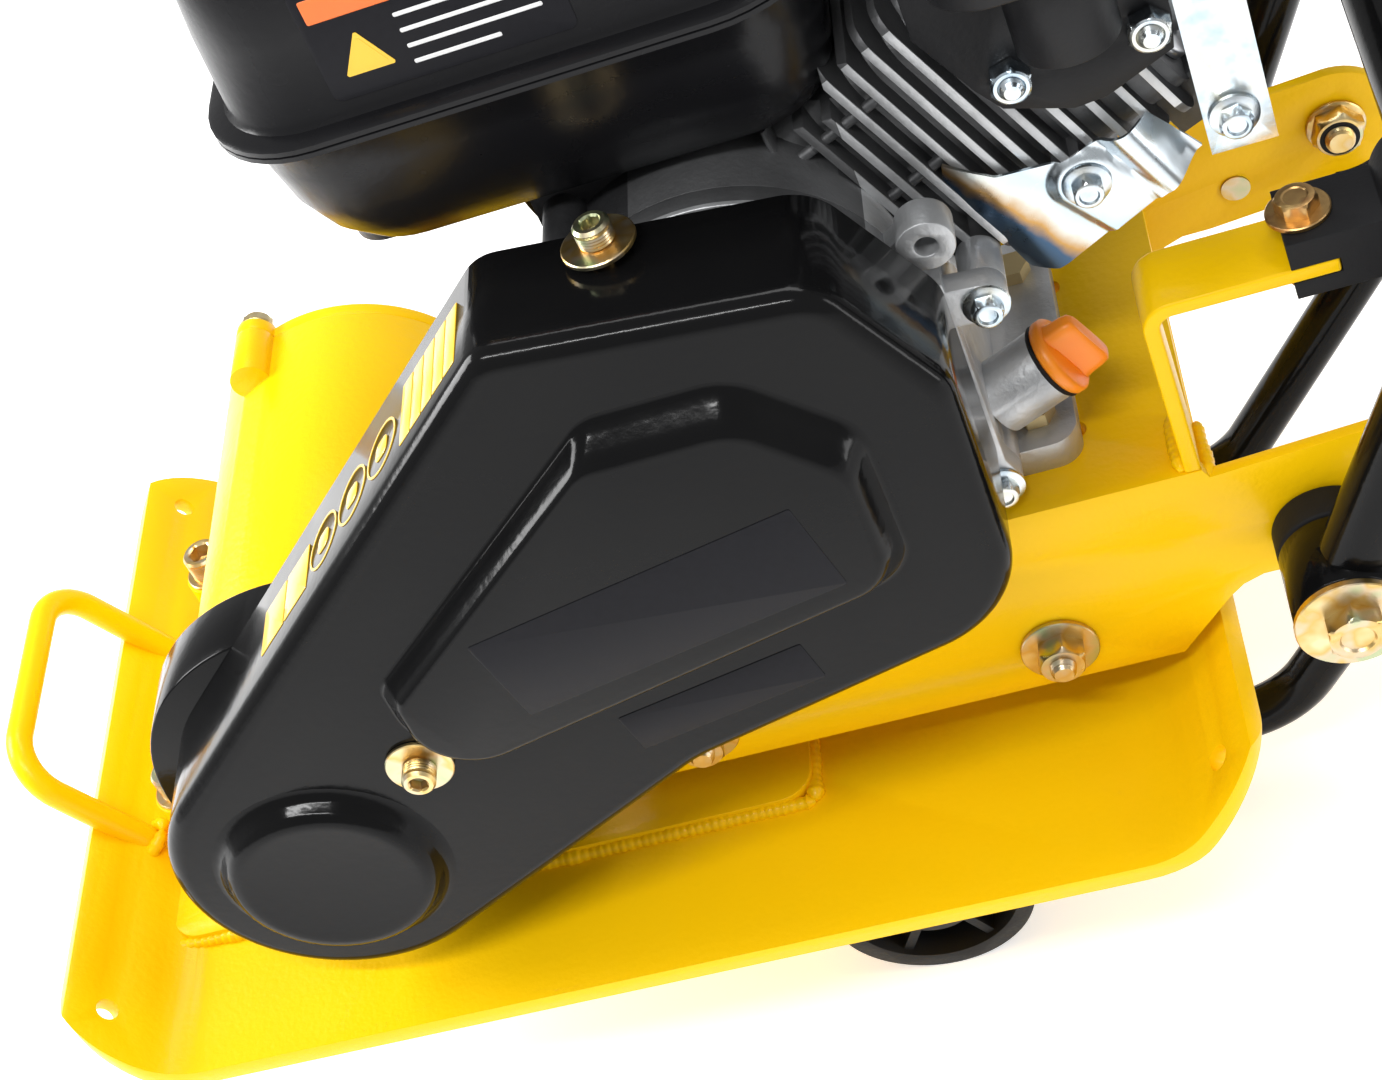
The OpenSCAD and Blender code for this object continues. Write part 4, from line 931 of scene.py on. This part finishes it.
BULGE = ((48, -0.1), (45.8, 0.2), (44, 1.2), (42.6, 3), (40.8, 6), (39.4, 8), (37.4, 9), (34.6, 9.2),
         (33, 9))
turned(guard, (EXCITER[0], GUARD_FRONT, EXCITER[1]), (0, -1, 0), [("round", r, h) for r, h in BULGE])
guard = hand_in(made_object("belt_guard_drawn", guard, 50), black_coat, "belt_guard")
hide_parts("belt_guard")
broken_edges(black_coat, 0.8, "guard_back_plate")

FACE_SCREW = (-44, 138)
TOP_SCREW = (91, -115)
TOP_SCREW_Z = 311.4
screws = bmesh.new()
rings = ([("round", 4, -46), ("round", 4, 0)] + washer(13, 0, 2) + socket_head(6.5, 2, 8, 6.4))
turned(screws, (FACE_SCREW[0], GUARD_FRONT, FACE_SCREW[1]), (0, -1, 0), rings, 0.3)
turned(screws, (*TOP_SCREW, TOP_SCREW_Z), (0, 0, 1),
       [("round", 4, -15), ("round", 4, 0)] + washer(13, 0, 2) + socket_head(6.5, 2, 8, 6.4), 0.1)
turned(screws, (*TOP_SCREW, 298), (0, 0, 1), [("hex", 6.5, 0), ("hex", 6.5, 6.2), ("round", 6, 7)])
screws = hand_in(made_object("guard_screws_turned", screws), plated_gold, "guard_screws")
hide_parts("guard_screws")


# --- Blank plates and marks ----------------------------------------------------------
# Thin printed film on the guard and tank, left without words or marks of any maker: two
# blank dark plates, plain yellow panels and rings, and an orange band.
def film(name, finish, node, middle, sideways, upright, wide, tall, corner=2.5, thick=0.35):
    """A flat film with rounded corners and a soft edge, facing along sideways x upright."""
    out = sideways.cross(upright).normalized()
    bm = bmesh.new()
    rings = []
    for pull, rise in ((0, -0.3), (0, thick * 0.6), (0.25, thick)):
        ring = []
        for number, (su, sv) in enumerate(((1, 1), (-1, 1), (-1, -1), (1, -1))):
            for k in range(7):
                t = math.radians(90 * (number + k / 6))
                u = su * (wide / 2 - corner) + (corner - pull) * math.cos(t)
                v = sv * (tall / 2 - corner) + (corner - pull) * math.sin(t)
                ring.append(at(*(Vector(middle) + sideways * u + upright * v + out * rise)))
        rings.append(ring)
    skinned(bm, rings)
    return hand_in(made_object(name, bm), finish, node)


plate_film = Finish("dark_plate_film", Specular_IOR_Level=0.14)
weave = plate_film.noise(420, 3)
plate_film.set("Base Color", plate_film.mix(weave, (0.006, 0.006, 0.008), (0.012, 0.012, 0.015)))
plate_film.set("Roughness", 0.42 + 0.2 * weave)
plate_film.bump(weave, 0.1, 0.0002)
yellow_film = Finish("yellow_film", Coat_Weight=0.4)
yellow_film.mottle(90, (0.90, 0.55, 0.02), (0.82, 0.48, 0.015))
yellow_film.set("Roughness", 0.35 + 0.15 * yellow_film.noise(200))

lean = Vector((0.980, 0, 0.199)).normalized()
raised = Vector((-lean.z, 0, lean.x))
film("guard_plate", plate_film, "belt_guard", (67.8, GUARD_FRONT - 12, 194.7), lean, raised, 127, 41, 1)
film("guard_small_plate", plate_film, "belt_guard", (72, GUARD_FRONT, 134.6), lean, raised, 75, 19.5, 1)

wall_way = (Vector(GUARD_CORNERS[-1][:2]) - round_end[0]).normalized()
wall_up = Vector((wall_way.x, 0, wall_way.y))
across = Vector((0, 1, 0))
WALL_MIDDLE = -130


def on_wall(distance, y=WALL_MIDDLE):
    """A place on the guard's sloping wall, a distance down from its upper corner."""
    return Vector((GUARD_CORNERS[-1][0], y, GUARD_CORNERS[-1][1])) - wall_up * distance


for number in range(5):
    film(f"guard_panel_{number}", yellow_film, "belt_guard", on_wall(17 + 8.6 * number), wall_up, across,
         8, 30, 0.6)


def film_ring(name, middle, radius, width):
    bm = bmesh.new()
    out = wall_up.cross(across).normalized()
    rings = []
    for reach, rise in ((radius - width, -0.2), (radius - width, 0.3), (radius, 0.3), (radius, -0.2)):
        rings.append([bm.verts.new(at(*(middle + wall_up * reach * math.cos(t) + across * reach * math.sin(t)
                                        + out * rise))) for t in (math.pi * k / 24 for k in range(48))])
    for low, high in zip(rings, rings[1:] + rings[:1]):
        for k in range(48):
            bm.faces.new((low[k], low[k - 1], high[k - 1], high[k]))
    hand_in(made_object(name, bm), yellow_film, "belt_guard")


for number in range(3):
    film_ring(f"guard_ring_{number}", on_wall(72 + 25 * number), 11.5, 1.0)
    film(f"guard_ring_centre_{number}", yellow_film, "belt_guard", on_wall(72 + 25 * number), wall_up,
         across, 9, 9, 3)
orange_film = Finish("orange_film", Coat_Weight=0.3)
orange_film.mottle(90, (0.88, 0.17, 0.01), (0.80, 0.13, 0.01))
orange_film.set("Roughness", 0.35 + 0.15 * orange_film.noise(200))
pale_film = Finish("pale_film")
pale_film.mottle(120, (0.80, 0.80, 0.80), (0.66, 0.66, 0.66))
pale_film.set("Roughness", 0.4 + 0.15 * pale_film.noise(200))
east_way = Vector((1, 0, 0))
tank_up = Vector((0, 0.04, 1)).normalized()


def on_tank(x, z):
    return Vector((x, -86.9 + 0.04 * (z - 380), z))


film("tank_plate", plate_film, "fuel_tank", on_tank(66, 396), east_way, tank_up, 84, 42, 3, 0.3)
film("tank_band", orange_film, "fuel_tank", on_tank(66, 409), east_way, tank_up, 78, 9, 0.8, 0.5)
for number, (z, wide) in enumerate(((399, 44), (393, 50), (387, 46), (381, 30))):
    film(f"tank_bar_{number}", pale_film, "fuel_tank", on_tank(54 + wide / 2, z), east_way, tank_up,
         wide, 1.6, 0.6, 0.5)
sign = bmesh.new()
for half, rise in ((9.5, 0.5), (7.2, 0.62)):
    corners = []
    for k in range(3):
        for bend in (-25, 0, 25):
            t = math.radians(90 + 120 * k + bend)
            middle = math.radians(90 + 120 * k)
            round_end = Vector((math.cos(middle), math.sin(middle))) * (half - 1.2)
            corners.append(round_end + 1.2 * Vector((math.cos(t), math.sin(t))))
    base = [at(*(on_tank(40 + c.x, 388 + c.y) + Vector((0, -rise, 0)))) for c in corners]
    skinned(sign, [[p + Vector((0, 0.0006, 0)) for p in base], base])
hand_in(made_object("tank_triangle", sign), yellow_film, "fuel_tank")
film("guard_panel_low_0", yellow_film, "belt_guard", on_wall(146), wall_up, across, 20, 22, 0.6)
film("guard_panel_low_1", yellow_film, "belt_guard", on_wall(167), wall_up, across, 20, 22, 0.6)


# --- Wheel kit -----------------------------------------------------------------------
# Two arms of bent 20 mm tube swing down from lug plates on the bed and carry an axle
# with two moulded wheels on cream hub bushes.
WHEEL = (103, -44)
FRAME_PIVOT = (334, 106)
ARM_Y = 70
ARM_FOOT = (337, 60)
frame_tubes = bmesh.new()
for side in (-1, 1):
    line = bent_line([(WHEEL[0], side * ARM_Y, WHEEL[1]), (258, side * ARM_Y, WHEEL[1]),
                      (ARM_FOOT[0], side * ARM_Y, ARM_FOOT[1])], 40)
    swept(frame_tubes, line, [10] * len(line), 36)
    end = [("round", 9.6, 0), ("round", 10.4, 0.8), ("round", 10.4, 40)]
    turned(frame_tubes, (ARM_FOOT[0], side * 62, ARM_FOOT[1]), (0, side, 0), end)
    lug_line = []
    for centre, first_turn in ((ARM_FOOT, 183), (FRAME_PIVOT, 3)):
        lug_line += [Vector(centre) + 14 * Vector((math.cos(t), math.sin(t)))
                     for t in (math.radians(first_turn + 180 * k / 20) for k in range(21))]
    faces = [(0.8, 102.5), (0, 103.3), (0, 106.7), (0.8, 107.5)]
    skinned(frame_tubes, [[at(p.x, side * y, p.y) for p in inset(lug_line, d)] for d, y in faces])
turned(frame_tubes, (WHEEL[0], -84, WHEEL[1]), (0, 1, 0),
       [("round", 12.2, 0), ("round", 13, 0.8), ("round", 13, 167.2), ("round", 12.2, 168)])
frame_tubes = hand_in(made_object("wheel_frame_bent", frame_tubes, 50), black_coat, "wheel_frame")
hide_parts("wheel_frame")
broken_edges(ground_steel, 0.6, "wheel_axle")
cream = Finish("cream_nylon", Subsurface_Weight=0.1)
cream.mottle(80, (0.72, 0.66, 0.30), (0.60, 0.52, 0.20))
cream.set("Roughness", 0.4 + 0.1 * cream.noise(300))
broken_edges(cream, 0.6, "hub_bushes")
broken_edges(matt_plastic, 1.0, "wheel_near", "wheel_far")


# --- Handle --------------------------------------------------------------------------
# One 27 mm tube bent into a loop, with welded eyes on rubber bushes and a cross tube
# that leans on the rest. Wide washers and bolts pin it to the bed's tail.
PIVOT = (290, 88)
LEG_Y = 133
LEAN = math.radians(64)
TOP_Z = 835
TOP_X = PIVOT[0] + (TOP_Z - PIVOT[1]) / math.tan(LEAN)
leg_way = Vector((math.cos(LEAN), 0, math.sin(LEAN)))
start = Vector((PIVOT[0], 0, PIVOT[1])) + leg_way * 17
handle = bmesh.new()
line = bent_line([(start.x, -LEG_Y, start.z), (TOP_X, -LEG_Y, TOP_Z), (TOP_X, LEG_Y, TOP_Z),
                  (start.x, LEG_Y, start.z)], 42)
swept(handle, line, [13.5] * len(line), 44)
for side in (-1, 1):
    turned(handle, (PIVOT[0], side * LEG_Y, PIVOT[1]), (0, side, 0),
           [("round", 15.1, 15.4), ("round", 15.1, 16), ("round", 19.2, 16), ("round", 20, 15.2),
            ("round", 20, -15.2), ("round", 19.2, -16), ("round", 15.1, -16), ("round", 15.1, -15.4)])
cross_z = PIVOT[1] + (352 - PIVOT[0]) * math.tan(LEAN)
turned(handle, (352, -LEG_Y, cross_z), (0, 1, 0), [("round", 11, 0), ("round", 11, 2 * LEG_Y)])
handle = hand_in(made_object("handle_frame_bent", handle, 50), black_coat, "handle_frame")
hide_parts("handle_frame")
broken_edges(moulded_rubber, 1.5, "handle_bushes")
broken_edges(moulded_rubber, 2.0, "handle_grip")
broken_edges(matt_plastic, 1.2, "throttle_lever")

OUT = LEG_Y + 16.5
pins = bmesh.new()
nylon = bmesh.new()
for side in (-1, 1):
    rings = [("round", 6, 96 - OUT), ("round", 6, 0)] + washer(20.5, 0, 3) + hex_head(19, 3, 7.5, 1)
    turned(pins, (PIVOT[0], side * OUT, PIVOT[1]), (0, side, 0), rings, 0.5)
    rings = ([("round", 6, -12), ("round", 6, -1.2)] + washer(12, -1.2, 1.2) + hex_head(19, 0, 7.5, 1))
    turned(pins, (FRAME_PIVOT[0], side * 109, FRAME_PIVOT[1]), (0, side, 0), rings, 0.2)
    rings = ([("round", 6, -3), ("round", 6, 0)] + washer(12, 0.1, 1.8)
             + [("hex", 9.5, 2.2), ("hex", 9.5, 7.4), ("round", 9.6, 8.6), ("round", 9, 9.6)]
             + [("round", 8, 9.9)])
    turned(pins, (FRAME_PIVOT[0], side * 97, FRAME_PIVOT[1]), (0, -side, 0),
           rings + [("round", 6.2, 9.9)] + thread(6, 10, 3), 0.2)
    turned(nylon, (FRAME_PIVOT[0], side * 97, FRAME_PIVOT[1]), (0, -side, 0),
           [("round", 8.0, 9.8), ("round", 7.9, 10.3), ("round", 6.2, 10.4), ("round", 6.1, 9.9)])
pins = hand_in(made_object("pivot_bolts_turned", pins), plated_gold, "pivot_bolts")
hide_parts("pivot_bolts")
hand_in(made_object("pivot_nylon_rings", nylon), moulded_rubber, "pivot_bolts")
